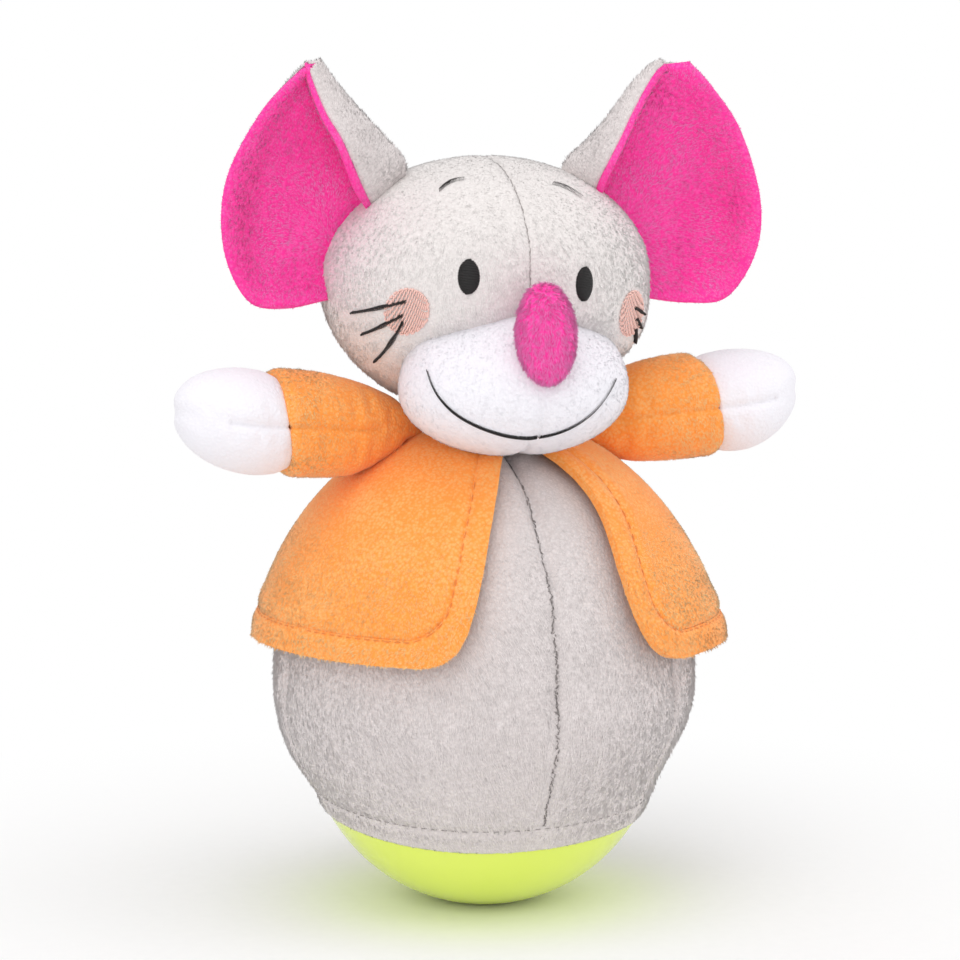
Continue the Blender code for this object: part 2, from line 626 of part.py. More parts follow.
def thread_disc(surface, place, size):
    """A thin oval of stitches that follows a surface."""
    shape = bmesh.new()
    facets = 14
    rims = []
    for lift in (SEAM_GAP, SEAM_GAP + THREAD_HEIGHT):
        middle = shape.verts.new(surface(place[0], place[1], lift))
        rim = []
        for step in range(facets):
            angle = 2 * math.pi * step / facets
            out = place[0] + size[0] / 2 * math.cos(angle)
            up = place[1] + size[1] / 2 * math.sin(angle)
            rim.append(shape.verts.new(surface(out, up, lift)))
        for step in range(facets):
            shape.faces.new((middle, rim[step], rim[(step + 1) % facets]))
        rims.append(rim)
    for step in range(facets):
        ahead = (step + 1) % facets
        shape.faces.new((rims[0][step], rims[0][ahead], rims[1][ahead], rims[1][step]))
    return shape


def thread_line(surface, path, width):
    """A thin row of stitches along a path of places on a surface."""
    grids = []
    for lift in (SEAM_GAP + THREAD_HEIGHT, SEAM_GAP):
        rows = []
        for index, (out, up) in enumerate(path):
            before = path[max(0, index - 1)]
            after = path[min(len(path) - 1, index + 1)]
            run = Vector((after[0] - before[0], after[1] - before[1])).normalized()
            aside = Vector((-run.y, run.x)) * width / 2
            edges = [(out + aside.x, up + aside.y), (out - aside.x, up - aside.y)]
            rows.append([surface(*edge, lift) for edge in edges])
        grids.append(rows)
    return closed_patch(*grids)


def straight_path(start, end, count):
    """Evenly spaced places between two ends."""
    return [(start[0] + (end[0] - start[0]) * step / count, start[1] + (end[1] - start[1]) * step / count)
            for step in range(count + 1)]


def past_cheek(start, end):
    """First place on a whisker that is clear of the cheek's stitches."""
    margin = WHISKER_WIDTH / 2 + SEAM_GAP
    reach = [size / 2 + margin for size in CHEEK_SIZE]
    for place in straight_path(start, end, 100):
        if math.hypot((place[0] - CHEEK_PLACE[0]) / reach[0], (place[1] - CHEEK_PLACE[1]) / reach[1]) > 1:
            return place
    return end


def build_embroidery(parent, offset, muzzle_cutter, black, blush):
    """Eyes, brows, cheeks cut to the muzzle's edge, whiskers and the two halves of the smile."""
    mouth_foot = MOUTH_ABOVE_MUZZLE_FOOT - MUZZLE_HALF_SIZE[2]
    for side, sign in SIDES.items():
        def add(name, shape, material):
            bmesh.ops.scale(shape, vec=(sign, 1, 1), verts=shape.verts)
            return make_object(f"{name}_{side}", shape, material, offset, parent=parent)

        add("eye", thread_disc(head_surface, EYE_PLACE, EYE_SIZE), black)
        cheek = add("cheek", thread_disc(head_surface, CHEEK_PLACE, CHEEK_SIZE), blush)
        combine(cheek, muzzle_cutter, "DIFFERENCE")
        add("brow", thread_line(head_surface, straight_path(*BROW_ENDS, 3), BROW_WIDTH), black)
        for row, (start, end) in WHISKER_ENDS.items():
            path = straight_path(past_cheek(start, end), end, 4)
            add(f"whisker_{row}", thread_line(head_surface, path, WHISKER_WIDTH), black)
        smile = []
        for step in range(7):
            out = MOUTH_GAP / 2 + (MOUTH_HALF_WIDTH - MOUTH_GAP / 2) * step / 6
            smile.append((out, mouth_foot + MOUTH_RISE * (out / MOUTH_HALF_WIDTH) ** 2))
        add("mouth", thread_line(muzzle_surface, smile, MOUTH_WIDTH), black)


# Jacket

def jacket_point(azimuth, height, lift):
    """Point on the body's upper surface, raised by lift, at an azimuth from the front towards +X."""
    angle = body_angle(height)
    normal = Vector((math.cos(angle) / BODY_RADIUS, math.sin(angle) / BODY_UP)).normalized()
    radius = BODY_RADIUS * math.cos(angle) + normal.x * lift
    top = BODY_WIDEST + BODY_UP * math.sin(angle) + normal.y * lift
    return Vector((radius * math.sin(azimuth), -radius * math.cos(azimuth), top))


def jacket_lift(azimuth, height):
    """How far the jacket's inside stands off the body: snug at the neck, flared at the hem."""
    share = (JACKET_NECK_HEIGHT - height) / (JACKET_NECK_HEIGHT - JACKET_HEM_HEIGHT)
    flare = JACKET_FLARE_FRONT + (JACKET_FLARE_SIDE - JACKET_FLARE_FRONT) * math.sin(azimuth) ** 2
    return JACKET_EASE + flare * share ** 2


def jacket_rows(count):
    """Heights from the hem to the neck, evenly spaced along the body's slope."""
    low = body_angle(JACKET_HEM_HEIGHT)
    high = body_angle(JACKET_NECK_HEIGHT)
    steps = [low + (high - low) * step / count for step in range(count + 1)]
    return [BODY_WIDEST + BODY_UP * math.sin(angle) for angle in steps]


def front_edge(height):
    """Azimuth of a front panel's free edge, with its round lower corner."""
    share = (JACKET_NECK_HEIGHT - height) / (JACKET_NECK_HEIGHT - JACKET_HEM_HEIGHT)
    degrees = JACKET_OPENING_NECK_DEGREES
    degrees += (JACKET_OPENING_HEM_DEGREES - JACKET_OPENING_NECK_DEGREES) * share
    into_corner = max(0.0, JACKET_CORNER_RADIUS - (height - JACKET_HEM_HEIGHT))
    turn_in = JACKET_CORNER_RADIUS - math.sqrt(JACKET_CORNER_RADIUS ** 2 - into_corner ** 2)
    return math.radians(degrees) + turn_in / BODY_RADIUS


def jacket_panel(edges, columns, rows):
    """A panel between two edge azimuths that may change with height."""
    grids = []
    for thickness in (JACKET_THICKNESS, 0.0):
        grid = []
        for height in rows:
            start, end = edges(height)
            azimuths = [start + (end - start) * step / columns for step in range(columns + 1)]
            grid.append([jacket_point(a, height, jacket_lift(a, height) + thickness) for a in azimuths])
        grids.append(grid)
    return closed_patch(*grids)


def side_seam():
    """Azimuth of the side seam, and the radius outside every point of it."""
    azimuth = math.radians(JACKET_SIDE_SEAM_DEGREES)
    reach = max(jacket_point(azimuth, height, jacket_lift(azimuth, height) + JACKET_THICKNESS).xy.length
                for height in jacket_rows(7))
    return azimuth, reach


def build_jacket(orange):
    """Back panel, and two front panels that swing out about their side seams."""
    azimuth, reach = side_seam()
    seam = 2 * SEAM_GAP / BODY_RADIUS
    back = jacket_panel(lambda height: (azimuth + seam, 2 * math.pi - azimuth - seam), 20, jacket_rows(6))
    make_object("jacket_back", back, orange)
    corner_shares = [1 - math.cos(math.pi / 2 * step / 4) for step in range(5)]
    rows = [JACKET_HEM_HEIGHT + JACKET_CORNER_RADIUS * share for share in corner_shares]
    rows += [height for height in jacket_rows(6) if height > rows[-1] + JACKET_THICKNESS]
    for side, sign in SIDES.items():
        panel = jacket_panel(lambda height: (front_edge(height), azimuth), 7, rows)
        hinge = Vector((reach * math.sin(azimuth), -reach * math.cos(azimuth), 0))
        bmesh.ops.translate(panel, vec=-hinge, verts=panel.verts)
        bmesh.ops.scale(panel, vec=(sign, 1, 1), verts=panel.verts)
        make_object(f"jacket_front_{side}", panel, orange, (sign * hinge.x, hinge.y, hinge.z))


# Arms

def shoulder_place():
    """Where a round sleeve end rests on the jacket and clears the head: (out, up)."""
    seat = JACKET_EASE + JACKET_THICKNESS + SEAM_GAP + SLEEVE_RADIUS
    clear = SLEEVE_RADIUS + SWING_GAP
    head = arc_points(HEAD_HALF_WIDTH, HEAD_JOWL, HEAD_CENTRE, -math.pi / 2, 0, 180)
    place = None
    for step in range(900):
        angle = math.pi / 2 * (1 - step / 900)
        normal = Vector((math.cos(angle) / BODY_RADIUS, math.sin(angle) / BODY_UP)).normalized()
        place = Vector((BODY_RADIUS * math.cos(angle), BODY_WIDEST + BODY_UP * math.sin(angle)))
        place += normal * seat
        if min((place - Vector(point)).length for point in head) >= clear:
            break
    return place


def build_arms(orange, white):
    """Sleeves with a round end at the shoulder, and hands sewn to their cuffs."""
    shoulder = shoulder_place()
    lay_down = Matrix.Rotation(math.pi / 2, 4, "Y")
    hand_start = SLEEVE_LENGTH + FIT_GAP
    tip = hand_start + HAND_LENGTH
    widest = hand_start + HAND_WIDEST_FROM_CUFF
    for side, sign in SIDES.items():
        sleeve = arc_points(SLEEVE_RADIUS, SLEEVE_RADIUS, 0, -math.pi / 2, 0, 5)
        sleeve = [(0, -SLEEVE_RADIUS)] + sleeve[1:] + [(CUFF_RADIUS, SLEEVE_FULL_FROM_SHOULDER)]
        sleeve += [(CUFF_RADIUS, SLEEVE_LENGTH), (0, SLEEVE_LENGTH)]
        hand = [(0, hand_start), (CUFF_RADIUS - COVER_THICKNESS, hand_start)]
        hand += arc_points(HAND_RADIUS, tip - widest, widest, 0, math.pi / 2, 6)[:-1] + [(0, tip)]
        place = (sign * shoulder.x, ARM_BEHIND_FRONT, shoulder.y)
        for name, profile, material in (("sleeve", sleeve, orange), ("hand", hand, white)):
            shape = turned(profile, ARM_FACETS)
            bmesh.ops.transform(shape, matrix=lay_down, verts=shape.verts)
            bmesh.ops.scale(shape, vec=(sign, 1, 1), verts=shape.verts)
            make_object(f"{name}_{side}", shape, material, place, -sign * ARM_FORWARD_DEGREES)


def build_toy():
    """Every piece of the toy."""
    clear_scene()
    lime = make_material("lime_abs", (0.67, 0.80, 0.10), 0.2)
    clear_plastic = make_material("natural_plastic", (0.75, 0.75, 0.72), 0.4)
    iron = make_material("cast_iron", (0.05, 0.05, 0.055), 0.7, 1.0)
    steel = make_material("steel", (0.6, 0.6, 0.6), 0.3, 1.0)
    grey = make_material("grey_plush", (0.60, 0.56, 0.53), 0.95)
    white = make_material("white_plush", (0.90, 0.90, 0.92), 0.95)
    pink = make_material("pink_plush", (0.95, 0.07, 0.30), 0.95)
    orange = make_material("orange_plush", (0.93, 0.33, 0.08), 0.95)
    filling = make_material("polyester_fibre", (0.85, 0.85, 0.85), 1.0)
    elastic = make_material("elastic", (0.8, 0.8, 0.78), 0.8)
    black = make_material("black_thread", (0.015, 0.014, 0.014), 0.6)
    blush = make_material("blush_thread", (0.92, 0.58, 0.53), 0.6)

    build_base_bowl(lime)
    build_capsule_dome(clear_plastic)
    build_ballast(iron, steel)
    build_chime(clear_plastic, steel)
    build_body(grey, filling, elastic)
    build_neck(filling)
    build_jacket(orange)
    build_arms(orange, white)

    pivot = make_empty("head_pivot", (0, 0, NECK_CENTRE), HEAD_TURN_DEGREES)
    offset = Vector((0, 0, HEAD_CENTRE - NECK_CENTRE))
    head_cutter = make_cutter("head_cutter", head_cutter_shape(), offset, pivot)
    build_head(pivot, offset, grey, filling)
    muzzle_cutter = build_muzzle_and_nose(pivot, offset, head_cutter, white, pink)
    build_ears(pivot, offset, head_cutter, grey, pink)
    build_embroidery(pivot, offset, muzzle_cutter, black, blush)


build_toy()
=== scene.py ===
import bpy
import json
import math
import numpy as np
from mathutils import Matrix, Vector
from mathutils.bvhtree import BVHTree
from mathutils.kdtree import KDTree


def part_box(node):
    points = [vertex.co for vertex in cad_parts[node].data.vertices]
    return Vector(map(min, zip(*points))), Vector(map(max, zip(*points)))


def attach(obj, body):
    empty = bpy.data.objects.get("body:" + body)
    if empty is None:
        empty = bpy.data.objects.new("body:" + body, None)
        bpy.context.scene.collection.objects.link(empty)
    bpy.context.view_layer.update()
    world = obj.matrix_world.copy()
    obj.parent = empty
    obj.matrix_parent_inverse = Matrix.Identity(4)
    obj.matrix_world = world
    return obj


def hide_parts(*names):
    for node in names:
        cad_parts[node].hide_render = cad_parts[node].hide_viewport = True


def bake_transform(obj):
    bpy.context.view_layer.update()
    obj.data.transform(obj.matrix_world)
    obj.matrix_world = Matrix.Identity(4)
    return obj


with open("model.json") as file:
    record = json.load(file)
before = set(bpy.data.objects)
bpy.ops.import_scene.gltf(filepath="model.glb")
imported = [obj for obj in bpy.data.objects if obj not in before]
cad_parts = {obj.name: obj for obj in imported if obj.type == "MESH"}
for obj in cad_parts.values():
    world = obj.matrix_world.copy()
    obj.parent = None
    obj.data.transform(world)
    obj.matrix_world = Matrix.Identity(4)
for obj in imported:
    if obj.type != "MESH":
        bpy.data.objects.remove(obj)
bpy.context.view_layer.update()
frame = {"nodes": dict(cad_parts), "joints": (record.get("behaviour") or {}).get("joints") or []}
mm = 0.001
sides = {"left": 1, "right": -1}  # the toy's own: it faces -Y


# colours and nodes

def linear(hexCode, level=1.0):
    channels = [int(hexCode[i:i + 2], 16) / 255 for i in (0, 2, 4)]
    light = [c / 12.92 if c <= 0.04045 else ((c + 0.055) / 1.055) ** 2.4 for c in channels]
    return tuple(c * level for c in light) + (1.0,)


def feed(tree, node, **inputs):
    # each input by its name, or by _ and its number, gets a value or another node's output
    for name, value in inputs.items():
        key = int(name[1:]) if name[1:].isdigit() else name.replace("_", " ")
        if isinstance(value, bpy.types.NodeSocket):
            tree.links.new(value, node.inputs[key])
        else:
            node.inputs[key].default_value = value
    return node


def addNode(tree, kind, settings=None, **inputs):
    made = tree.nodes.new("ShaderNode" + kind)
    for name, value in (settings or {}).items():
        setattr(made, name, value)
    return feed(tree, made, **inputs)


def newMaterial(name):
    made = bpy.data.materials.new(name)
    made.use_nodes = True
    return made, made.node_tree, made.node_tree.nodes["Principled BSDF"]


# object helpers: places are in mm

def pick(piece):
    bpy.ops.object.select_all(action="DESELECT")
    piece.select_set(True)
    bpy.context.view_layer.objects.active = piece


def startEdit(piece, test=None):
    # opens a piece with the points that pass the test selected, or all of them
    pick(piece)
    mesh = piece.data
    for part in (mesh.vertices, mesh.edges, mesh.polygons):
        part.foreach_set("select", [not test] * len(part))
    if test:
        for v in mesh.vertices:
            v.select = test(v.co / mm)
        for part in (*mesh.edges, *mesh.polygons):
            part.select = all(mesh.vertices[i].select for i in part.vertices)
    bpy.ops.object.mode_set(mode="EDIT")
    bpy.ops.mesh.select_mode(type="VERT")


def endEdit():
    bpy.ops.object.mode_set(mode="OBJECT")


def faceOut(piece):
    startEdit(piece)
    bpy.ops.mesh.normals_make_consistent(inside=False)
    endEdit()


def trim(piece, height, up):
    # keeps what lies above a height, or below it where up is -1
    startEdit(piece)
    bpy.ops.mesh.bisect(plane_co=(0, 0, height * mm), plane_no=(0, 0, up), clear_inner=True)
    endEdit()


def applyAll(piece):
    pick(piece)
    for modifier in list(piece.modifiers):
        bpy.ops.object.modifier_apply(modifier=modifier.name)


def thicken(piece, thickness, offset=-1):
    wall = piece.modifiers.new("wall", "SOLIDIFY")
    wall.thickness = thickness * mm
    wall.offset = offset


def readAll(items, key, kind=np.float32):
    found = np.empty(len(items) * 3, kind)
    items.foreach_get(key, found)
    return found.reshape(-1, 3)


def places(piece):
    return readAll(piece.data.vertices, "co").astype(float) / mm


def setPlaces(piece, spots):
    piece.data.vertices.foreach_set("co", (spots * mm).astype(np.float32).ravel())
    piece.data.update()


def normalsOf(piece):
    return readAll(piece.data.vertex_normals, "vector").astype(float)


def pushOut(piece, far):
    # moves each point along its normal
    setPlaces(piece, places(piece) + normalsOf(piece) * far[:, None])


def triangles(piece):
    piece.data.calc_loop_triangles()
    return readAll(piece.data.loop_triangles, "vertices", np.int32)


def linked(name, data):
    piece = bpy.data.objects.new(name, data)
    bpy.context.scene.collection.objects.link(piece)
    return piece


def fromArrays(name, spots, faces, edges=()):
    mesh = bpy.data.meshes.new(name)
    mesh.from_pydata((np.asarray(spots) * mm).tolist(), list(edges), [list(map(int, f)) for f in faces])
    mesh.update()
    return linked(name, mesh)


def spun(name, profile, steps, axis):
    # a line of points turned once round an axis
    piece = fromArrays(name, profile, [], [(i, i + 1) for i in range(len(profile) - 1)])
    startEdit(piece)
    bpy.ops.mesh.spin(steps=steps, angle=2 * math.pi, center=(0, 0, 0), axis=axis)
    bpy.ops.mesh.select_all(action="SELECT")
    bpy.ops.mesh.remove_doubles(threshold=0.01 * mm)
    bpy.ops.mesh.normals_make_consistent(inside=False)
    endEdit()
    return piece


def smooth(piece):
    piece.data.shade_smooth()
    return piece


def dress(piece, material):
    piece.data.materials.clear()
    piece.data.materials.append(material)
    return piece


def unit(vectors):
    return vectors / np.maximum(np.linalg.norm(vectors, axis=-1, keepdims=True), 1e-9)


def surfaceOf(piece):
    return BVHTree.FromPolygons(places(piece).tolist(), triangles(piece).tolist())


def dip(distance, width):
    # 1 on a line, falling off to both sides of it
    return np.exp(-(distance / width) ** 2)


def ramp(values, start, length):
    return np.clip((values - start) / length, 0, 1)


def ripple(spots, size, seed):
    # slow wavy noise from a few crossed sine waves, about one wave per size in mm
    rng = np.random.default_rng(seed)
    total = np.zeros(len(spots))
    for step in range(7):
        way = rng.normal(size=3)
        way *= 2 * math.pi / size / np.linalg.norm(way) * (0.7 + 0.12 * step)
        total += np.sin(spots @ way + rng.random() * 6.28)
    return total / 2.6


def throughPoints(points, count, low=0.0, high=1.0):
    # a smooth curve through the points, or a part of it, evenly stepped
    points = np.array(points, float)
    longer = np.vstack([2 * points[0] - points[1], points, 2 * points[-1] - points[-2]])
    made = []
    for share in np.linspace(low, high, count) * (len(points) - 1 - 1e-6):
        i, t = int(share), share - int(share)
        p0, p1, p2, p3 = longer[i:i + 4]
        made.append(0.5 * (2 * p1 + (p2 - p0) * t + (2 * p0 - 5 * p1 + 4 * p2 - p3) * t ** 2
                           + (3 * p1 - p0 - 3 * p2 + p3) * t ** 3))
    return np.array(made)


# the head's own frame: centre as origin, turned as photographed

head = {"centre": (0, 0, 157.0), "turn": -6.2, "half": (40.7, 38.2), "crown": 29.2, "jowl": 34.2, "inset": 0.9,
        "voxel": 2.1, "slack": 0.07, "cap": 1.2}
headPlace = Matrix.Translation(Vector(head["centre"]) * mm) @ Matrix.Rotation(math.radians(head["turn"]), 4, "Z")


def intoHead(piece):
    piece.data.transform(headPlace)
    return piece


# materials

asColour, multiplyAdd = {"data_type": "RGBA"}, {"operation": "MULTIPLY_ADD"}


def plushMaterials(name, shadedRootHex, tipHex, backHex, sheen):
    # knitted polyester plush: soft pile, denser at its roots, over a plain knit backing; each fibre is painted darker
    # towards its root, as painted shade deep in the pile
    cloth = {"Sheen_Weight": sheen, "Specular_IOR_Level": 0.2}
    pile, tree, shader = newMaterial(name + "Pile")
    along, toneAndLight = (addNode(tree, "Attribute", {"attribute_name": key}).outputs["Fac"] for key in ("tip", "toneAndLight"))
    where = addNode(tree, "TexCoord").outputs["Object"]
    brushed = addNode(tree, "TexNoise", Vector=where, Scale=60.0, Detail=2.0).outputs["Fac"]
    # painted shade: each fibre runs from the dark root colour at its foot to the tip colour, with random tone
    shade = addNode(tree, "Math", multiplyAdd, _0=along, _1=0.7, _2=0.15).outputs[0]
    shade = addNode(tree, "Math", multiplyAdd, _0=toneAndLight, _1=0.1, _2=shade).outputs[0]
    shade = addNode(tree, "Math", dict(multiplyAdd, use_clamp=True), _0=brushed, _1=0.25, _2=shade).outputs[0]
    colour = addNode(tree, "Mix", asColour, Factor=shade, _6=linear(shadedRootHex), _7=linear(tipHex)).outputs[2]
    # painted shade: fibres marked much darker, in the seams' furrows and the darkest streaks, turn towards a very dark
    # root colour
    deepShade = addNode(tree, "MapRange", Value=toneAndLight, _1=-3.0, _2=-7.0).outputs[0]
    colour = addNode(tree, "Mix", asColour, Factor=deepShade, _6=colour, _7=linear(shadedRootHex, 0.35)).outputs[2]
    feed(tree, shader, Base_Color=colour, Roughness=0.85, Sheen_Roughness=0.45, **cloth)

    backing, tree, shader = newMaterial(name + "Backing")
    where = addNode(tree, "TexCoord").outputs["Object"]
    # knit courses about 0.8 mm apart, drawn a little coarse so that they show
    knit = addNode(tree, "TexVoronoi", Vector=where, Scale=1 / (0.8 * mm)).outputs["Distance"]
    cloudy = addNode(tree, "TexNoise", Vector=where, Scale=70.0, Detail=4.0).outputs["Fac"]
    mixed = addNode(tree, "Math", multiplyAdd, _0=cloudy, _1=0.7, _2=knit).outputs[0]
    colour = addNode(tree, "Mix", asColour, Factor=mixed, _6=linear(backHex), _7=linear(shadedRootHex)).outputs[2]
    raised = addNode(tree, "Bump", Strength=0.5, Distance=0.3 * mm, Height=knit).outputs[0]
    feed(tree, shader, Base_Color=colour, Normal=raised, Roughness=0.9, Sheen_Roughness=0.5, **cloth)
    return pile, backing


def threadMaterial(name, darkHex, lightHex, sheen, roughness):
    # twisted rayon embroidery thread: silky, with a fine twist across each stitch; the twist bumps the surface, and its
    # bands are also painted lighter and darker, as painted highlight and shade
    made, tree, shader = newMaterial(name)
    laid = addNode(tree, "UVMap", {"uv_map": "thread"}).outputs[0]
    twist = addNode(tree, "TexWave", {"bands_direction": "DIAGONAL"}, Vector=laid, Scale=2.2, Distortion=0.6)
    twist = twist.outputs["Fac"]
    colour = addNode(tree, "Mix", asColour, Factor=twist, _6=linear(darkHex), _7=linear(lightHex)).outputs[2]
    raised = addNode(tree, "Bump", Strength=0.35, Distance=0.1 * mm, Height=twist).outputs[0]
    feed(tree, shader, Base_Color=colour, Normal=raised, Roughness=roughness, Sheen_Weight=sheen,
         Specular_IOR_Level=0.4)
    return made


def hardMaterial(name, darkHex, lightHex, grainMm, roughness, metallic=0.0, coat=0.0, bump=0.1):
    # moulded, cast or drawn surface with a faint grain in colour, gloss and relief
    made, tree, shader = newMaterial(name)
    where = addNode(tree, "TexCoord").outputs["Object"]
    grain = addNode(tree, "TexNoise", Vector=where, Scale=1 / (grainMm * mm), Detail=3.0).outputs["Fac"]
    slow = addNode(tree, "TexNoise", Vector=where, Scale=40.0, Detail=2.0).outputs["Fac"]
    colour = addNode(tree, "Mix", asColour, Factor=slow, _6=linear(darkHex), _7=linear(lightHex)).outputs[2]
    gloss = addNode(tree, "MapRange", Value=grain, _3=roughness * 0.8, _4=roughness * 1.2).outputs[0]
    raised = addNode(tree, "Bump", Strength=bump, Distance=0.1 * mm, Height=grain).outputs[0]
    feed(tree, shader, Base_Color=colour, Roughness=gloss, Normal=raised, Metallic=metallic, Coat_Weight=coat,
         Coat_Roughness=0.08)
    return made


greyPile, greyBacking = plushMaterials("greyPlush", "d2cac9", "f8f0ef", "ece4e3", 0.25)
headPile, headBacking = plushMaterials("paleGreyPlush", "e0dad8", "fbf6f4", "f0ebe9", 0.25)
pinkPile, pinkBacking = plushMaterials("pinkPlush", "ff3aa2", "ff8ccf", "ff72c2", 0.15)
orangePile, orangeBacking = plushMaterials("orangePlush", "ff9c44", "ffd092", "ffca84", 0.2)
whitePile, whiteBacking = plushMaterials("whitePlush", "efedf3", "f5f3f9", "f3f1f7", 0.15)
blackThread = threadMaterial("blackRayonThread", "0e0d0d", "242121", 0.0, 0.55)
blushThread = threadMaterial("blushRayonThread", "efbaae", "fbd9d0", 0.1, 0.45)
orangeThread = threadMaterial("orangeRayonThread", "e07a30", "f39648", 0.1, 0.5)
greyThread = threadMaterial("greyRayonThread", "8f8886", "b0a9a7", 0.1, 0.5)
# partly seam thread, partly painted shade: the dark strokes in the front seam's furrow
seamShadeThread = threadMaterial("darkGreyThreadSeamShade", "6e6866", "968f8d", 0.1, 0.6)
limeAbs = hardMaterial("limeAbs", "e0f25a", "e8f86a", 1.2, 0.2, coat=0.35, bump=0.04)
naturalPlastic = hardMaterial("naturalPolypropylene", "d6d4cc", "e4e2da", 0.9, 0.42)
castIron = hardMaterial("sandCastIron", "3a3838", "4c4a49", 0.7, 0.68, 1.0, bump=0.6)
drawnSteel = hardMaterial("drawnSteel", "b9bbbd", "d0d1d3", 0.25, 0.28, 1.0)
fibreFill = hardMaterial("polyesterFibre", "dedede", "f2f2f2", 0.6, 0.95, bump=0.9)
coveredElastic = hardMaterial("coveredElastic", "d2d0c8", "e2e0d8", 0.4, 0.8, bump=0.6)
print("materials made")


# stuffed skins: an egg or a turned form, swelled by cloth simulation between its pinned seams
# they swell at ten times their size, because cloth in millimetres hardly moves

swelling = {"scale": 10, "frames": 20}
swellCloth = {"use_pressure": True, "uniform_pressure_force": 20, "mass": 0.03, "tension_stiffness": 5,
              "compression_stiffness": 5, "shear_stiffness": 2, "bending_stiffness": 0.5, "vertex_group_mass": "seams"}


def egg(name, half, halfUp, halfDown, segments=64, rings=40):
    bpy.ops.object.select_all(action="DESELECT")
    bpy.ops.mesh.primitive_uv_sphere_add(segments=segments, ring_count=rings, radius=mm)
    piece = bpy.context.object
    piece.name = piece.data.name = name
    for test, size in ((None, (*half[:2], 1)), (lambda v: v.z > 1e-4, (1, 1, halfUp)),
                       (lambda v: v.z < -1e-4, (1, 1, halfDown))):
        startEdit(piece, test)
        bpy.ops.transform.resize(value=size, center_override=(0, 0, 0))
        endEdit()
    return piece


def swell(piece, look, pinned):
    piece.data.remesh_voxel_size = look["voxel"] * mm
    pick(piece)
    bpy.ops.object.voxel_remesh()
    rest = places(piece)
    piece.vertex_groups.new(name="seams").add([int(i) for i in np.nonzero(pinned(rest))[0]], 1.0, "REPLACE")
    setPlaces(piece, rest * swelling["scale"])
    cloth = piece.modifiers.new("swell", "CLOTH")
    for name, value in swellCloth.items():
        setattr(cloth.settings, name, value)
    cloth.settings.shrink_min = -look["slack"]
    cloth.settings.effector_weights.gravity = 0
    for step in range(swelling["frames"]):
        bpy.context.scene.frame_set(step + 1)
    shown = piece.evaluated_get(bpy.context.evaluated_depsgraph_get())
    move = readAll(shown.data.vertices, "co") / mm / swelling["scale"] - rest
    piece.modifiers.remove(cloth)
    bpy.context.scene.frame_set(1)
    far = np.linalg.norm(move, axis=1, keepdims=True)
    setPlaces(piece, rest + move / np.maximum(far, 1e-9) * look["cap"] * np.tanh(far / look["cap"]))
    piece.vertex_groups.clear()
    fine = piece.modifiers.new("fine", "SUBSURF")
    fine.levels = fine.render_levels = 1
    applyAll(piece)
    return smooth(piece)


def groove(piece, distance, depth, width):
    # draws the skin in along a seam, given each point's distance from it
    pushOut(piece, -depth * dip(distance(places(piece)), width))


# pile: closed three-sided fibres, combed, gathered in small tufts
# some fibres lie in the shade of others and make fine darker streaks

pileRules = {"lot": 48000, "shortest": 0.12, "leanSpread": 9, "lengths": (0.7, 1.25), "rootDepth": 0.25,
             "roll": (math.pi / 6, 0.3), "shaded": 0.22}
plushLook = {"perSquareMm": 4.0, "length": 1.4, "width": 0.32, "lean": 80, "stray": 0.16, "tuft": 5, "gather": 0.2,
             "softness": 0.97, "streaks": 0, "paintedLightAndTone": lambda root: 0}


def growPile(name, skin, look, comb, keep, material, seed):
    rng = np.random.default_rng(seed)
    look = dict(plushLook, **look)
    spots, tris, up = places(skin), triangles(skin), normalsOf(skin)
    a, b, c = (spots[tris[:, i]] for i in range(3))
    area = np.linalg.norm(np.cross(b - a, c - a), axis=1) / 2
    count = int(area.sum() * look["perSquareMm"])
    chosen = rng.choice(len(tris), count, p=area / area.sum())
    u, v = rng.random((2, count, 1))
    u, v = np.where(u + v > 1, 1 - u, u), np.where(u + v > 1, 1 - v, v)
    root = a[chosen] + u * (b - a)[chosen] + v * (c - a)[chosen]
    normal = unit(up[tris[chosen, 0]] * (1 - u - v) + up[tris[chosen, 1]] * u + up[tris[chosen, 2]] * v)
    height = keep(root, normal)
    kept = height > pileRules["shortest"]
    root, normal, height = root[kept], normal[kept], height[kept]
    count = len(root)
    flow = comb(root, normal) + rng.normal(0, look["stray"], (count, 3))
    flow = unit(flow - normal * (flow * normal).sum(1, keepdims=True))
    lean = np.radians(look["lean"] + rng.normal(0, pileRules["leanSpread"], (count, 1)))
    way = unit(normal * np.cos(lean) + flow * np.sin(lean))
    length = (look["length"] * height * rng.uniform(*pileRules["lengths"], count))[:, None]
    tip = root + way * length
    # the roots come in random order, so the first ones serve as the tufts' middles
    middles = max(1, count // look["tuft"])
    tufts = KDTree(middles)
    for i in range(middles):
        tufts.insert(root[i], i)
    tufts.balance()
    near = np.array([tufts.find(p)[1] for p in root])
    gathered = root[near] + (tip - root)[near]
    tip = tip + (gathered - tip) * look["gather"] * np.clip(length / look["length"], 0, 1)
    # in lots from front to back, so that no piece grows too heavy
    lots = max(1, math.ceil(count / pileRules["lot"]))
    made = []
    for lot, part in enumerate(np.array_split(np.argsort(root[:, 1]), lots)):
        lotName = name if lots == 1 else f"{name}_{lot + 1}"
        made.append(dress(fibres(lotName, root[part], tip[part], normal[part], look, rng), material))
    print("pile", name, count)
    return made


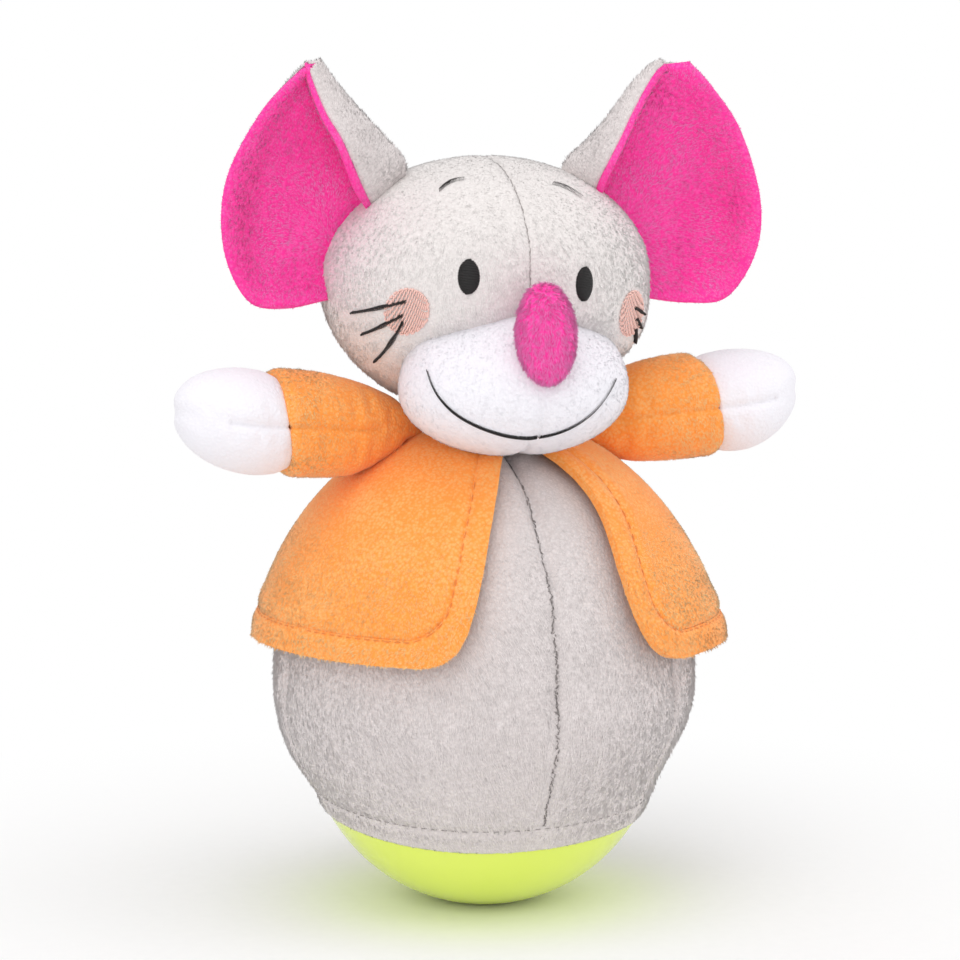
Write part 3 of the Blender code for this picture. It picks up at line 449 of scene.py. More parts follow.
def fibres(name, root, tip, normal, look, rng):
    count = len(root)
    way = unit(tip - root)
    # one flat side of each fibre faces outwards, more or less
    across = unit(np.cross(normal, way))
    other = np.cross(way, across)
    foot = root - normal * pileRules["rootDepth"]
    roll = rng.normal(*pileRules["roll"], (count, 1))
    turns = [2 * math.pi * turn / 3 + roll for turn in range(3)]
    corners = [foot + (across * np.cos(t) + other * np.sin(t)) * look["width"] / 1.7 for t in turns]
    spots = np.stack([*corners, tip], axis=1).reshape(-1, 3)
    first = np.arange(count)[:, None, None] * 4
    faces = (first + np.array([[0, 1, 3], [1, 2, 3], [2, 0, 3], [0, 2, 1]])).reshape(-1, 3)
    mesh = bpy.data.meshes.new(name)
    mesh.vertices.add(len(spots))
    mesh.vertices.foreach_set("co", (spots * mm).astype(np.float32).ravel())
    mesh.loops.add(len(faces) * 3)
    mesh.loops.foreach_set("vertex_index", faces.astype(np.int32).ravel())
    mesh.polygons.add(len(faces))
    mesh.polygons.foreach_set("loop_start", np.arange(len(faces), dtype=np.int32) * 3)
    mesh.update(calc_edges=True)
    # a place of its own for each fibre on the colour map
    cells = math.ceil(math.sqrt(count))
    corner = np.array([[0.15, 0.12], [0.85, 0.12], [0.5, 0.3], [0.5, 0.92]])
    cell = np.stack([np.arange(count) % cells, np.arange(count) // cells], axis=1)[:, None, :]
    spread = ((cell + corner) / cells).reshape(-1, 2)[faces.ravel()]
    mesh.uv_layers.new(name="OFBake").data.foreach_set("uv", spread.astype(np.float32).ravel())
    streaks = look["streaks"] * (rng.random(count) < pileRules["shaded"])
    # each fibre's tone: random, plus the painted light and shade its look gives, less the painted shade of the streaks
    toneAndLight = np.repeat(rng.normal(0, 1, count) + look["paintedLightAndTone"](root) - streaks, 4)
    for key, values in (("tip", np.tile([0, 0, 0, 1], count)), ("toneAndLight", toneAndLight)):
        mesh.attributes.new(key, "FLOAT", "POINT").data.foreach_set("value", values.astype(np.float32))
    mesh.shade_smooth()
    # light falls on the pile mostly as on the skin under it
    own = readAll(mesh.vertex_normals, "vector")
    soft = unit(np.repeat(normal, 4, axis=0) * look["softness"] + own * (1 - look["softness"]))
    mesh.normals_split_custom_set_from_vertices(soft.tolist())
    return linked(name, mesh)


# threads: each stitch is a thin tube that rises from the cloth and dives back into it

threadForm = {"rings": 7, "sides": 6, "dive": 1.1, "flat": 0.8}


def sew(name, stitches, surface, radius, rise, material):
    spots, faces, laid = [], [], []
    rings, ringSides = threadForm["rings"], threadForm["sides"]
    shares = [step / (rings - 1) for step in range(rings)]
    for start, end, thick in stitches:
        line, ups = [], []
        for share in shares:
            point, normal = surface(*(s + (e - s) * share for s, e in zip(start, end)))
            bow = math.sin(math.pi * share) ** 0.6
            line.append(point + normal * (rise * bow - radius * threadForm["dive"] * (1 - bow)))
            ups.append(normal)
        first = len(spots)
        length = sum((b - a).length for a, b in zip(line, line[1:]))
        for step, share in enumerate(shares):
            run = (line[min(step + 1, rings - 1)] - line[max(step - 1, 0)]).normalized()
            aside = run.cross(ups[step]).normalized()
            size = radius * thick * (0.55 + 0.45 * math.sin(math.pi * share) ** 0.5)
            for side in range(ringSides):
                angle = 2 * math.pi * side / ringSides
                over = ups[step] * size * math.sin(angle) * threadForm["flat"]
                spots.append(line[step] + aside * size * math.cos(angle) + over)
                laid.append((share * length, side / ringSides))
        for low in range(first, len(spots) - ringSides, ringSides):
            for side in range(ringSides):
                ahead, high = (side + 1) % ringSides, low + ringSides
                faces.append((low + side, high + side, high + ahead, low + ahead))
        faces += [range(first, first + ringSides), range(len(spots) - 1, len(spots) - 1 - ringSides, -1)]
    piece = fromArrays(name, [list(p) for p in spots], faces)
    layer = piece.data.uv_layers.new(name="thread")
    for loop in piece.data.loops:
        layer.data[loop.index].uv = laid[loop.vertex_index]
    return smooth(dress(piece, material))


def onFront(tree):
    # a surface read from straight ahead in its own frame, at places (out, up)
    def read(out, up):
        point, normal, _, _ = tree.ray_cast(Vector((out, -90, up)), Vector((0, 1, 0)))
        if point is None:
            point, normal, _, _ = tree.find_nearest(Vector((out, -30, up)))
        return point, normal
    return read


# rocker bowl: a turned shell with the boss for the ballast's screw

bowl = {"radius": 44.5, "wall": 2.5, "flat": 18.0, "floor": 2.5, "lap": 3.0, "play": 0.3, "boss": (5.0, 7.5),
        "hole": 1.8, "holeBottom": 4.7, "steps": 112}
bowlCentre = math.sqrt(bowl["radius"] ** 2 - (bowl["flat"] / 2) ** 2)


def bowlRadiusAt(height):
    return np.sqrt(np.clip(bowl["radius"] ** 2 - (height - bowlCentre) ** 2, 0, None))


def makeBowl():
    def arc(radius, start, end, count):
        return [(radius * math.cos(a), bowlCentre + radius * math.sin(a)) for a in np.linspace(start, end, count)]

    outer, inner = bowl["radius"], bowl["radius"] - bowl["wall"]
    floor, hole = bowl["floor"], bowl["hole"]
    lip = outer - (bowl["wall"] - bowl["play"]) / 2
    boss, rise = bowl["boss"]
    profile = [(bowl["flat"] / 2 * share, 0) for share in (0.0, 0.5, 0.9)]
    profile += arc(outer, -math.acos(bowl["flat"] / 2 / outer), 0, 40)
    profile += [(lip, bowlCentre), (lip, bowlCentre - bowl["lap"])]
    profile += arc(inner, -math.asin(bowl["lap"] / inner), -math.asin((bowlCentre - floor) / inner), 24)
    profile += [(boss, floor), (boss, floor + rise), (hole, floor + rise)]
    profile += [(hole, bowl["holeBottom"]), (0, bowl["holeBottom"])]
    piece = spun("rocker_bowl", [(r, 0, z) for r, z in profile], bowl["steps"], (0, 0, 1))
    pick(piece)
    bpy.ops.object.shade_smooth_by_angle(angle=math.radians(35))
    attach(dress(piece, limeAbs), "body")
    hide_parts("base_bowl")


makeBowl()
print("bowl made")


# body: grey panels with upright seams, a hem drawn in round the bowl, a row of stitches above its edge

body = {"radius": 53.6, "widest": 59.58, "up": 59.42, "down": 59.36, "hem": 20.5, "inset": 2.2, "voxel": 2.6,
        "slack": 0.08, "cap": 1.7, "cloth": 0.3, "stitchRow": 6.0, "stitches": 104, "lifted": 21.5,
        "seams": (-3.5, 41.5, 176.5, -93.5), "bare": {"height": 74, "turn": 84, "neck": 117.5}, "chin": (76, 24),
        "offBowl": 0.65}
# below its widest the skin is drawn in to hug the bowl: radius by height
bodyWaist = {"heights": (14, 20.5, 22.3, 26.1, 30, 34, 37.7, 45.4, 53, 60),
             "radii": (36.0, 38.75, 39.7, 42.2, 44.0, 46.0, 47.8, 50.9, 52.8, 53.0)}


def bodyRadiusAt(height):
    half = body["up"] if height > body["widest"] else body["down"]
    return body["radius"] * math.sqrt(max(0.0, 1 - ((height - body["widest"]) / half) ** 2))


def azimuthOf(spots):
    # degrees round the upright axis from the front, growing to the toy's left
    return np.degrees(np.arctan2(spots[:, 0], -spots[:, 1]))


def hemRise(spots):
    # the hem climbs a little at the two sides, more at the one on the toy's right
    aside = np.sin(np.radians(azimuthOf(spots) + 23.5))
    return (2.9 - 0.9 * aside) * aside ** 2 / body["lifted"]


def lift(spots):
    low = body["hem"] + body["lifted"]
    return np.where(spots[:, 2] < low, spots[:, 2] + hemRise(spots) * (low - spots[:, 2]), spots[:, 2])


def overHem(spots):
    # height over the hem as it was before the sides were lifted
    low, rise = body["hem"] + body["lifted"], hemRise(spots)
    return np.where(spots[:, 2] < low, (spots[:, 2] - rise * low) / (1 - rise), spots[:, 2]) - body["hem"]


def seamTurns(spots):
    return np.stack([(azimuthOf(spots) - seam + 180) % 360 - 180 for seam in body["seams"]])


def nearSeams(spots):
    return np.hypot(spots[:, 0], spots[:, 1]) * np.radians(np.abs(seamTurns(spots)).min(0))


def bodyComb(root, normal):
    # downwards, and towards the front seam from both sides
    turn = np.radians(seamTurns(root)[0])
    sideways = np.cross((0, 0, 1), unit(normal * (1, 1, 0)))
    sway = (-0.42 * np.sin(turn * 1.2) + 0.3 * ripple(root, 34, 5)) * (1 - dip(nearSeams(root), 3.0))
    return sideways * sway[:, None] + (0, 0, -1.0)


def bodyKeep(root, normal):
    # none under the jacket's back, at the neck or on the inner face
    bare = body["bare"]
    hidden = (root[:, 2] > bare["height"]) & (np.abs(azimuthOf(root)) > bare["turn"])
    hidden |= (root[:, 2] > bare["neck"]) | ((normal * (root - (0, 0, body["widest"]))).sum(1) < 0)
    over = overHem(root)
    height = np.clip(0.13 + nearSeams(root) / 2.6, 0.13, 1)
    height *= np.clip(0.3 + np.abs(over - body["stitchRow"]) / 1.6, 0.3, 1) * np.clip(0.3 + over / 6, 0.3, 1)
    # short under the chin, where the muzzle passes
    return np.where(hidden, 0, height * (1 - 0.65 * ramp(root[:, 2], *body["chin"])))


def bodyShadeAndTone(root):
    # painted shade along the open seams' furrows and along the hem's row of stitches, and a little uneven tone
    # everywhere
    seam = -11 * dip(nearSeams(root), 0.65) * (0.8 + 0.35 * ripple(root, 5, 15))
    return seam - 5 * dip(overHem(root) - body["stitchRow"], 0.5) + 0.5 * ripple(root, 16, 14)


def bodyEgg(name, inset, *detail):
    piece = egg(name, (body["radius"] - inset,) * 2, body["up"] - inset, body["down"] - inset, *detail)
    piece.data.transform(Matrix.Translation((0, 0, body["widest"] * mm)))
    return piece


def makeBody():
    piece = bodyEgg("body_skin", body["inset"])
    # pinned along the seams, at the hem and at the neck
    swell(piece, body, lambda s: (nearSeams(s) < 1.4) | (s[:, 2] < body["hem"] + 2) | (s[:, 2] > 115))
    spots = places(piece)
    out, up, turn = unit(spots * (1, 1, 0)), spots[:, 2], azimuthOf(spots)
    pulled = np.clip((60 - up) / 12, 0, 1) * (up > 12)
    radii = np.interp(up, bodyWaist["heights"], bodyWaist["radii"])
    move = (radii - np.hypot(spots[:, 0], spots[:, 1])) * pulled - 0.5 * (1 - pulled)
    # a little slacker on the toy's left, fuller on its right, low down; gathered by the elastic
    move -= 1.0 * np.cos(np.radians(turn - 66)) * dip(up - 36, 10)
    move += 0.25 * np.sin(np.radians(turn) * 44) * np.clip((body["hem"] + 9 - up) / 8, 0, 1)
    setPlaces(piece, spots + out * move[:, None])
    groove(piece, nearSeams, 1.3, 0.9)
    groove(piece, lambda s: s[:, 2] - body["hem"] - body["stitchRow"], 0.8, 1.0)
    trim(piece, body["hem"], 1)
    faceOut(piece)
    spots = places(piece)
    spots[:, 2] = lift(spots)
    # nowhere inside the bowl
    flat = np.hypot(spots[:, 0], spots[:, 1])
    grow = np.maximum(1, (bowlRadiusAt(spots[:, 2]) + body["offBowl"]) / np.maximum(flat, 1))
    spots[:, :2] *= np.where((spots[:, 2] < bowlCentre) & (spots[:, 2] > 12), grow, 1)[:, None]
    setPlaces(piece, spots)
    thicken(piece, body["cloth"])
    applyAll(piece)
    return smooth(dress(piece, greyBacking))


bodySkin = makeBody()
bodyTree = surfaceOf(bodySkin)
bodyPile = {"length": 1.7, "streaks": 1.8, "paintedLightAndTone": bodyShadeAndTone}
bodyFur = growPile("body_pile", bodySkin, bodyPile, bodyComb, bodyKeep, greyPile, 11)


def fromOutside(tree, azimuth, height):
    # a surface read from its outside towards the upright axis
    way = Vector((math.sin(azimuth), -math.cos(azimuth), 0))
    return tree.ray_cast(way * 90 + Vector((0, 0, height)), -way)[:2]


def onBody(azimuth, height):
    return fromOutside(bodyTree, azimuth, height)


def bodyStitches():
    count = body["stitches"]
    step = 2 * math.pi / count
    turns = np.arange(2 * count) * step / 2
    row = body["hem"] + body["stitchRow"] + 0 * turns
    heights = lift(np.stack([np.sin(turns), -np.cos(turns), row], axis=1))
    hem = [((turns[i], heights[i]), (turns[i] + 0.78 * step, heights[i + 1]), 0.8) for i in range(0, 2 * count, 2)]
    # small stitches that cross the seam on the toy's left
    side = math.radians(body["seams"][1])
    cross = [((side - 0.022, z), (side + 0.022, z - 0.4), 1.0) for z in np.arange(29, 67, 2.3)]
    # the open front seam: short dark ends of pile and thread in its furrow, drawn darker than the other stitches'
    # thread, partly thread and partly painted shade in the furrow
    rng = np.random.default_rng(19)
    furrow = []
    for z in np.arange(28, 113, 0.62):
        start, end = math.radians(body["seams"][0]) + rng.normal(0, 0.007, 2)
        furrow.append(((start, z), (end, z - rng.uniform(0.6, 1.5)), rng.uniform(0.35, 1.1)))
    return [sew("hem_stitches", hem, onBody, 0.16, 0.1, greyThread),
            sew("side_seam_stitches", cross, onBody, 0.16, 0.1, greyThread),
            sew("front_seam_stitches", furrow, onBody, 0.17, 0.2, seamShadeThread)]


for piece in [bodySkin, *bodyFur, *bodyStitches()]:
    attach(piece, "body")
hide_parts("body_cover")
print("body made")


# filling, elastic and neck: inside, seen only where a seam opens

filling = {"inset": 6.0, "top": 110, "wall": 2.5, "headHalf": (36.5, 34), "headUpDown": (25, 30), "headFloor": -26}
neck = {"half": 12.6, "tall": 12.2, "middle": 120.6}
elastic = {"thickness": 0.4, "gap": 0.25, "plaits": 48}


def makeFilling():
    wad = bodyEgg("body_fibre", filling["inset"], 40, 26)
    trim(wad, bowlCentre, 1)
    trim(wad, filling["top"], -1)
    headWad = egg("head_fibre", filling["headHalf"], *filling["headUpDown"], 36, 24)
    trim(headWad, filling["headFloor"], 1)
    intoHead(headWad)
    for piece, node, carrier in ((wad, "body_stuffing", "body"), (headWad, "head_stuffing", "head")):
        pushOut(piece, ripple(places(piece), 14, 3) * 0.35 - 0.3)
        thicken(piece, filling["wall"])
        applyAll(piece)
        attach(smooth(dress(piece, fibreFill)), carrier)
        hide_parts(node)
    cover = egg("neck_cover", (neck["half"],) * 2, neck["tall"], neck["tall"], 32, 20)
    cover.data.transform(Matrix.Translation((0, 0, neck["middle"] * mm)))
    pushOut(cover, ripple(places(cover), 9, 4) * 0.15)
    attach(smooth(dress(cover, greyBacking)), "neck")
    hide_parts("neck_stuffing")


def makeElastic():
    low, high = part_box("hem_elastic")
    middle = (low.z + high.z) / 2
    onIt = float(bowlRadiusAt(middle / mm))
    bpy.ops.object.select_all(action="DESELECT")
    bpy.ops.mesh.primitive_torus_add(major_segments=96, minor_segments=10, major_radius=(onIt + elastic["gap"]) * mm,
                                     minor_radius=elastic["thickness"] / 2 * mm, location=(0, 0, middle))
    cord = bpy.context.object
    cord.name = cord.data.name = "hem_elastic_cord"
    bpy.ops.object.transform_apply(location=True)
    spots = places(cord)
    spots[:, 2] = lift(spots)
    spots[:, :2] *= (bowlRadiusAt(spots[:, 2]) / onIt)[:, None]
    setPlaces(cord, spots)
    pushOut(cord, np.sin(np.arctan2(spots[:, 1], spots[:, 0]) * elastic["plaits"]) * 0.04)
    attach(smooth(dress(cord, coveredElastic)), "body")
    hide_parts("hem_elastic")


makeFilling()
makeElastic()
print("filling made")


# head: two pale grey halves with a fine seam down the middle; places are (out, up) on its front

muzzle = {"centre": (0, -23.7, -26.0), "half": (28.2, 25.8), "up": 22.0, "down": 16.2, "ridge": 22.6, "slope": 0.42,
          "inset": 0.9, "voxel": 1.7, "slack": 0.05, "cap": 0.9}
nose = {"centre": (0, -48.4, -10.9), "half": (7.3, 7.0, 12.2), "lean": -12, "inset": 0.6, "voxel": 1.1, "slack": 0.05,
        "cap": 0.6}
muzzlePileLook = {"perSquareMm": 3.0, "length": 0.8, "width": 0.3, "stray": 0.4, "gather": 0.1, "softness": 1.0}
nosePileLook = {"perSquareMm": 7.0, "width": 0.28, "lean": 62, "stray": 0.4, "tuft": 6, "gather": 0.4, "softness": 0.85}
# the head's pile round its embroidery: bare within, short within, how short
clearance = {"patch": (1, 1.35, 0.5), "line": (0.7, 1.8, 0.45)}
# the embroidery as photographed, a little different on the two sides
eye = {"places": {"left": (13.7, -0.3), "right": (-14.8, 1.8)}, "size": (5.0, 7.9), "row": 0.36}
cheek = {"places": {"left": (29.4, -8.3), "right": (-27.4, -6.6)}, "size": (8.6, 11.0), "row": 0.4, "stitch": 2.0}
brow = {"left": ((10.4, 22.8), (17.1, 19.4)), "right": ((-11.1, 24.0), (-17.6, 21.3)), "arch": 0.7}
whiskers = {"upper": {"left": ((29.9, -6.9), (34.6, -9.0)), "right": ((-28.0, -4.2), (-37.4, -7.6))},
            "middle": {"left": ((30.9, -9.6), (34.0, -12.4)), "right": ((-28.3, -7.5), (-35.1, -12.8))},
            "lower": {"left": ((31.3, -12.2), (33.4, -16.0)), "right": ((-28.0, -9.0), (-31.3, -19.6))}}
smile = {"right": ((-0.7, -35.6), (-3.5, -35.6), (-8.6, -34.8), (-14.4, -32.8), (-19.3, -30.0), (-22.5, -26.6),
                   (-24.0, -23.2), (-24.5, -19.9)),
         "left": ((0.5, -35.5), (1.7, -35.2), (6.9, -33.4), (11.7, -30.5), (15.5, -27.1), (19.7, -22.6))}


def muzzleSlope(out):
    # its top falls off to both sides like a tent
    plain = muzzle["up"] * np.sqrt(np.clip(1 - (out / muzzle["half"][0]) ** 2, 0.05, 1))
    return np.minimum(1, (muzzle["ridge"] - muzzle["slope"] * np.sqrt(out ** 2 + 6)) / plain)


def muzzleShare(spots):
    # below 1 inside the muzzle
    x, y, z = (spots - muzzle["centre"]).T
    tall = np.where(z > 0, muzzle["up"] * muzzleSlope(x), muzzle["down"])
    return np.sqrt((x / muzzle["half"][0]) ** 2 + (y / muzzle["half"][1]) ** 2 + (z / tall) ** 2)


def lineDistance(spots, start, end):
    at = spots[:, [0, 2]] - start
    run = np.array(end) - start
    share = np.clip(at @ run / (run @ run), 0, 1)
    return np.linalg.norm(at - share[:, None] * run, axis=1)


def headComb(root, normal):
    sway = (ripple(root, 30, 8) * 0.3 + root[:, 0] * 0.006)[:, None] * np.cross((0, 0, 1), normal)
    return sway + (0, -0.35, -1.0)


def headKeep(root, normal):
    # no pile under the embroidery, short pile round it, by the seam and on the crown
    height = np.clip(0.15 + np.abs(root[:, 0]) / 2.2, 0.15, 1 - 0.5 * ramp(root[:, 2], 8, 14))
    front = root[:, 1] < 0
    for side in sides:
        gaps = []
        for look in (eye, cheek):
            (x, z), (wide, tall) = look["places"][side], look["size"]
            away = np.hypot((root[:, 0] - x) / (wide / 2), (root[:, 2] - z) / (tall / 2))
            gaps.append((away, *clearance["patch"]))
        for ends in [brow[side]] + [row[side] for row in whiskers.values()]:
            gaps.append((lineDistance(root, *ends), *clearance["line"]))
        for gap, bare, near, short in gaps:
            height = np.where(front & (gap < near), np.minimum(height, short), height)
            height = np.where(front & (gap < bare), 0, height)
    return np.where((muzzleShare(root) < 0.97) | (root[:, 2] < -33), 0, height)


def headShadeAndTone(root):
    # painted shade along the furrow of the seam down the middle, and a little uneven tone everywhere
    return -8 * dip(root[:, 0], 0.45) * (0.7 + 0.4 * ripple(root, 5, 16)) + 0.5 * ripple(root, 14, 17)


def muzzleKeep(root, normal):
    inHead = np.linalg.norm(root / (40.0, 37.5, 33.0), axis=1) < 0.97
    return np.where(inHead | ((root[:, 1] > -12) & (root[:, 2] > -36)), 0, 1.0)


def makeHead():
    inset = head["inset"]
    piece = egg("head_skin", [h - inset for h in head["half"]], head["crown"] - inset, head["jowl"] - inset)
    swell(piece, head, lambda s: (np.abs(s[:, 0]) < 1.0) | (s[:, 2] < -31) | (muzzleShare(s) < 0.9))
    # the toy's left jowl is fuller
    spots = places(piece)
    spots[:, 0] += 1.9 * dip(spots[:, 2] + 15, 9) * np.clip(spots[:, 0] / 30, 0, 1)
    setPlaces(piece, spots)
    groove(piece, lambda s: s[:, 0], 0.7, 0.8)
    groove(piece, lambda s: (muzzleShare(s) - 1) * 20, 1.0, 2.2)  # drawn in where the muzzle is sewn on
    return dress(piece, headBacking)


def makeMuzzle():
    inset = muzzle["inset"]
    piece = egg("muzzle_skin", [h - inset for h in muzzle["half"]], muzzle["up"] - inset, muzzle["down"] - inset)
    spots = places(piece)
    spots[:, 2] *= np.where(spots[:, 2] > 0, muzzleSlope(spots[:, 0]), 1)
    setPlaces(piece, spots + muzzle["centre"])
    swell(piece, muzzle, lambda s: (np.abs(s[:, 0]) < 0.9) | (s[:, 1] > -16))
    groove(piece, lambda s: s[:, 0], 0.3, 0.8)
    return dress(piece, whiteBacking)


def makeNose():
    half = [h - nose["inset"] for h in nose["half"]]
    piece = egg("nose_skin", half, half[2], half[2], 40, 28)
    piece.data.transform(Matrix.Rotation(math.radians(nose["lean"]), 4, "X"))
    piece.data.transform(Matrix.Translation(Vector(nose["centre"]) * mm))
    swell(piece, nose, lambda s: s[:, 1] > -45)
    return dress(piece, pinkBacking)


headSkin, muzzleSkin, noseSkin = makeHead(), makeMuzzle(), makeNose()
onHead, onMuzzle = onFront(surfaceOf(headSkin)), onFront(surfaceOf(muzzleSkin))
headFur = growPile("head_pile", headSkin, {"streaks": 1.4, "paintedLightAndTone": headShadeAndTone}, headComb, headKeep, headPile, 21)
muzzleFur = growPile("muzzle_pile", muzzleSkin, muzzlePileLook, lambda r, n: r * 0.01 + (0, 0, -1.0), muzzleKeep,
                     whitePile, 31)
noseFur = growPile("nose_pile", noseSkin, nosePileLook, lambda r, n: 0 * r + (0, 0, -0.9),
                   lambda r, n: np.where(muzzleShare(r) < 0.97, 0, 1.0), pinkPile, 41)
print("head made")


# embroidery on the head and the muzzle

def eyeStitches(place):
    halfX, halfZ = eye["size"][0] / 2, eye["size"][1] / 2
    made = []
    for row in np.arange(-halfZ + 0.2, halfZ, eye["row"]):
        wide = halfX * math.sqrt(max(0.0, 1 - (row / halfZ) ** 2)) + 0.25
        made.append(((place[0] - wide, place[1] + row - 0.2), (place[0] + wide, place[1] + row + 0.2), 1.0))
    return made


def cheekStitches(place):
    made, long = [], cheek["stitch"]
    halfX, halfZ = cheek["size"][0] / 2, cheek["size"][1] / 2
    for index, out in enumerate(np.arange(-halfX + 0.2, halfX, cheek["row"])):
        reach = halfZ * math.sqrt(max(0.0, 1 - (out / halfX) ** 2))
        low = -reach - (index % 3) * long / 3
        while low < reach:
            start, end = max(low, -reach), min(low + long, reach)
            if end - start > 0.35:
                made.append(((place[0] + out, place[1] + start), (place[0] + out + 0.3, place[1] + end), 1.0))
            low += long
    # a fine outline, stitch by stitch, with a small gap after each
    rim = [(place[0] + halfX * math.cos(a), place[1] + halfZ * math.sin(a)) for a in np.linspace(0, 2 * math.pi, 25)]
    return made + [(a, tuple(s + (e - s) * 0.9 for s, e in zip(a, b)), 1.0) for a, b in zip(rim, rim[1:])]


def satin(path, widthAt, step, slant):
    # short stitches laid side by side across a line, as wide as its place asks
    path = np.array(path, float)
    far = np.concatenate([[0], np.cumsum(np.linalg.norm(np.diff(path, axis=0), axis=1))])
    made = []
    for d in np.arange(0, far[-1], step):
        before, at, after = (np.array([np.interp(d + s, far, path[:, i]) for i in (0, 1)]) for s in (-0.3, 0, 0.3))
        along = unit(after - before)
        wide = widthAt(d / far[-1])
        lean = np.array([-along[1], along[0]]) * wide / 2 + along * slant
        made.append((tuple(at - lean), tuple(at + lean), min(1.0, max(0.45, wide / 0.45))))
    return made


def whiskerWidth(share):
    bulge = 0.45 + 0.55 * math.sin(math.pi * min(1.0, share + 0.12)) ** 0.5
    return 1.25 * bulge * (0.8 + 0.2 * math.cos(share * 4 * math.pi))


def browWidth(share):
    return 0.1 + 0.14 * math.sin(math.pi * share)


smileWidth = {"right": lambda s: 0.75 * (1 - s) ** 0.8 + 0.12, "left": lambda s: 0.4 * (1 - s) + 0.1}


def browPath(ends):
    (x0, z0), (x1, z1) = ends
    return [(x0 + (x1 - x0) * s, z0 + (z1 - z0) * s + brow["arch"] * math.sin(math.pi * s))
            for s in np.linspace(0, 1, 5)]


def makeEmbroidery():
    for side in sides:
        smileLine = throughPoints(smile[side], 40)
        made = {
            f"eye_{side}": (eyeStitches(eye["places"][side]), onHead, 0.24, 0.7, blackThread),
            f"brow_{side}": (satin(browPath(brow[side]), browWidth, 0.3, 0.25), onHead, 0.17, 0.95, blackThread),
            f"cheek_{side}": (cheekStitches(cheek["places"][side]), onHead, 0.23, 0.45, blushThread),
            f"mouth_{side}": (satin(smileLine, smileWidth[side], 0.34, 0.3), onMuzzle, 0.2, 0.5, blackThread),
        }
        for row, ends in whiskers.items():
            made[f"whisker_{row}_{side}"] = (satin(ends[side], whiskerWidth, 0.36, 0.3), onHead, 0.22, 0.8, blackThread)
        for node, recipe in made.items():
            piece = sew(node + "_stitches", *recipe)
            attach(intoHead(piece), "head")
            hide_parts(node)


def headSeam():
    # the seam down the middle of the head, seen as a fine broken line
    rng = np.random.default_rng(29)
    line = [((rng.normal(0, 0.15), z), (rng.normal(0, 0.15), z - rng.uniform(0.7, 1.5)), rng.uniform(0.5, 1.1))
            for z in np.arange(28, -4, -0.75)]
    piece = sew("head_seam_stitches", line, onHead, 0.11, 0.2, greyThread)
    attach(intoHead(piece), "head")


makeEmbroidery()
headSeam()
for skin, lots, node, slotName in ((headSkin, headFur, "head_cover", "grey_plush"),
                                   (muzzleSkin, muzzleFur, "muzzle", "white_plush"),
                                   (noseSkin, noseFur, "nose", "pink_plush")):
    for piece in [skin, *lots]:
        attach(intoHead(piece), "head")
    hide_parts(node)
print("embroidery made")


# ears: two layers sewn at the rim, cupped, with the inner edge folded forward
# each curve runs from the ear's foot to its tip, as (out, forward or back, up) from the head's centre

ear = {
    "right": {
        "outer": [(39, -2, -5), (52, -4.5, -7.0), (61.5, -6.5, -4.6), (67.8, -9.5, 8), (67.8, -12.7, 24),
                  (60.2, -15.2, 39.5), (51, -17, 49.4), (47.6, -17.6, 51.4)],
        "cup": [(36, 3, 4), (46, 1, 5), (54, -0.5, 11), (57, -3, 19), (55.5, -6.5, 29), (52, -11, 40.5),
                (48.5, -15, 49), (47.2, -16.8, 51.5)],
        "ridge": [(24, 2, 19), (23, -4, 26.5), (28.7, -6, 32.4), (34.0, -8.5, 37.2), (39.0, -11.5, 42.4),
                  (42.6, -14, 46.6), (46, -16.5, 50.8), (46.8, -16.8, 51.6)],
        "inner": [(30, -6, 15), (36, -13, 21), (40, -18, 28), (42.8, -20.5, 33.5), (45.5, -20, 38.3),
                  (47.6, -19, 43.8), (49, -18.2, 49.2), (48, -17.9, 51)]},
    "left": {
        "outer": [(39, -2, -6), (52, -4.5, -7.6), (62, -6.5, -6.2), (68.3, -9.8, 5), (68.4, -12.2, 18.5),
                  (61.8, -15, 35.5), (53.2, -16.8, 46.5), (47, -17.6, 52.4)],
        "cup": [(36, 3, 4), (46, 2, 4), (54, 1, 10), (57, -1.5, 18), (55, -5, 28), (49.5, -10, 40),
                (44.8, -14.5, 48.4), (43.6, -16.6, 52)],
        "ridge": [(22, 2, 19), (21, -4, 25.8), (26, -6.5, 31), (30, -9.5, 36), (33.4, -11.5, 41.6),
                  (36.2, -13.2, 46.8), (39, -16, 50.6), (41.2, -16.8, 51.8)],
        "inner": [(28, -6, 14), (26, -14, 21), (26.6, -20, 27.5), (28.9, -20.8, 33), (31.6, -20.2, 38.5),
                  (34.9, -19.3, 44.2), (38.2, -18.5, 49.2), (41, -18, 51.6)]},
    "thickness": 2.4, "steps": (56, 46), "rimRound": 0.1, "edgeSeam": 0.895, "edgeRoll": 0.95,
    "bead": (0.035, 0.955), "backEnds": (0.07, 0.955), "backTip": 0.985, "middle": (38.0, 0, 6.0),
    "bendFrom": (32, -4, 11), "bendTo": (46, -8, 21)}
earPileLook = {"perSquareMm": 4.4, "length": 1.3, "width": 0.3, "lean": 77, "stray": 0.2, "gather": 0.25,
               "softness": 0.96, "streaks": 0.8, "paintedLightAndTone": lambda root: 1.8 * ripple(root, 17, 18)}


def earGrid(side, low, high, tip):
    across, along = ear["steps"]
    curves = [throughPoints(ear[side][name], along, 0, tip) for name in ("outer", "cup", "ridge", "inner")]
    grid = np.stack([throughPoints([curve[i] for curve in curves], across, low, high) for i in range(along)], axis=1)
    return grid * (sides[side], 1, 1)


def gridFaces(rows, columns):
    return [[r * columns + c, r * columns + c + 1, (r + 1) * columns + c + 1, (r + 1) * columns + c]
            for r in range(rows - 1) for c in range(columns - 1)]


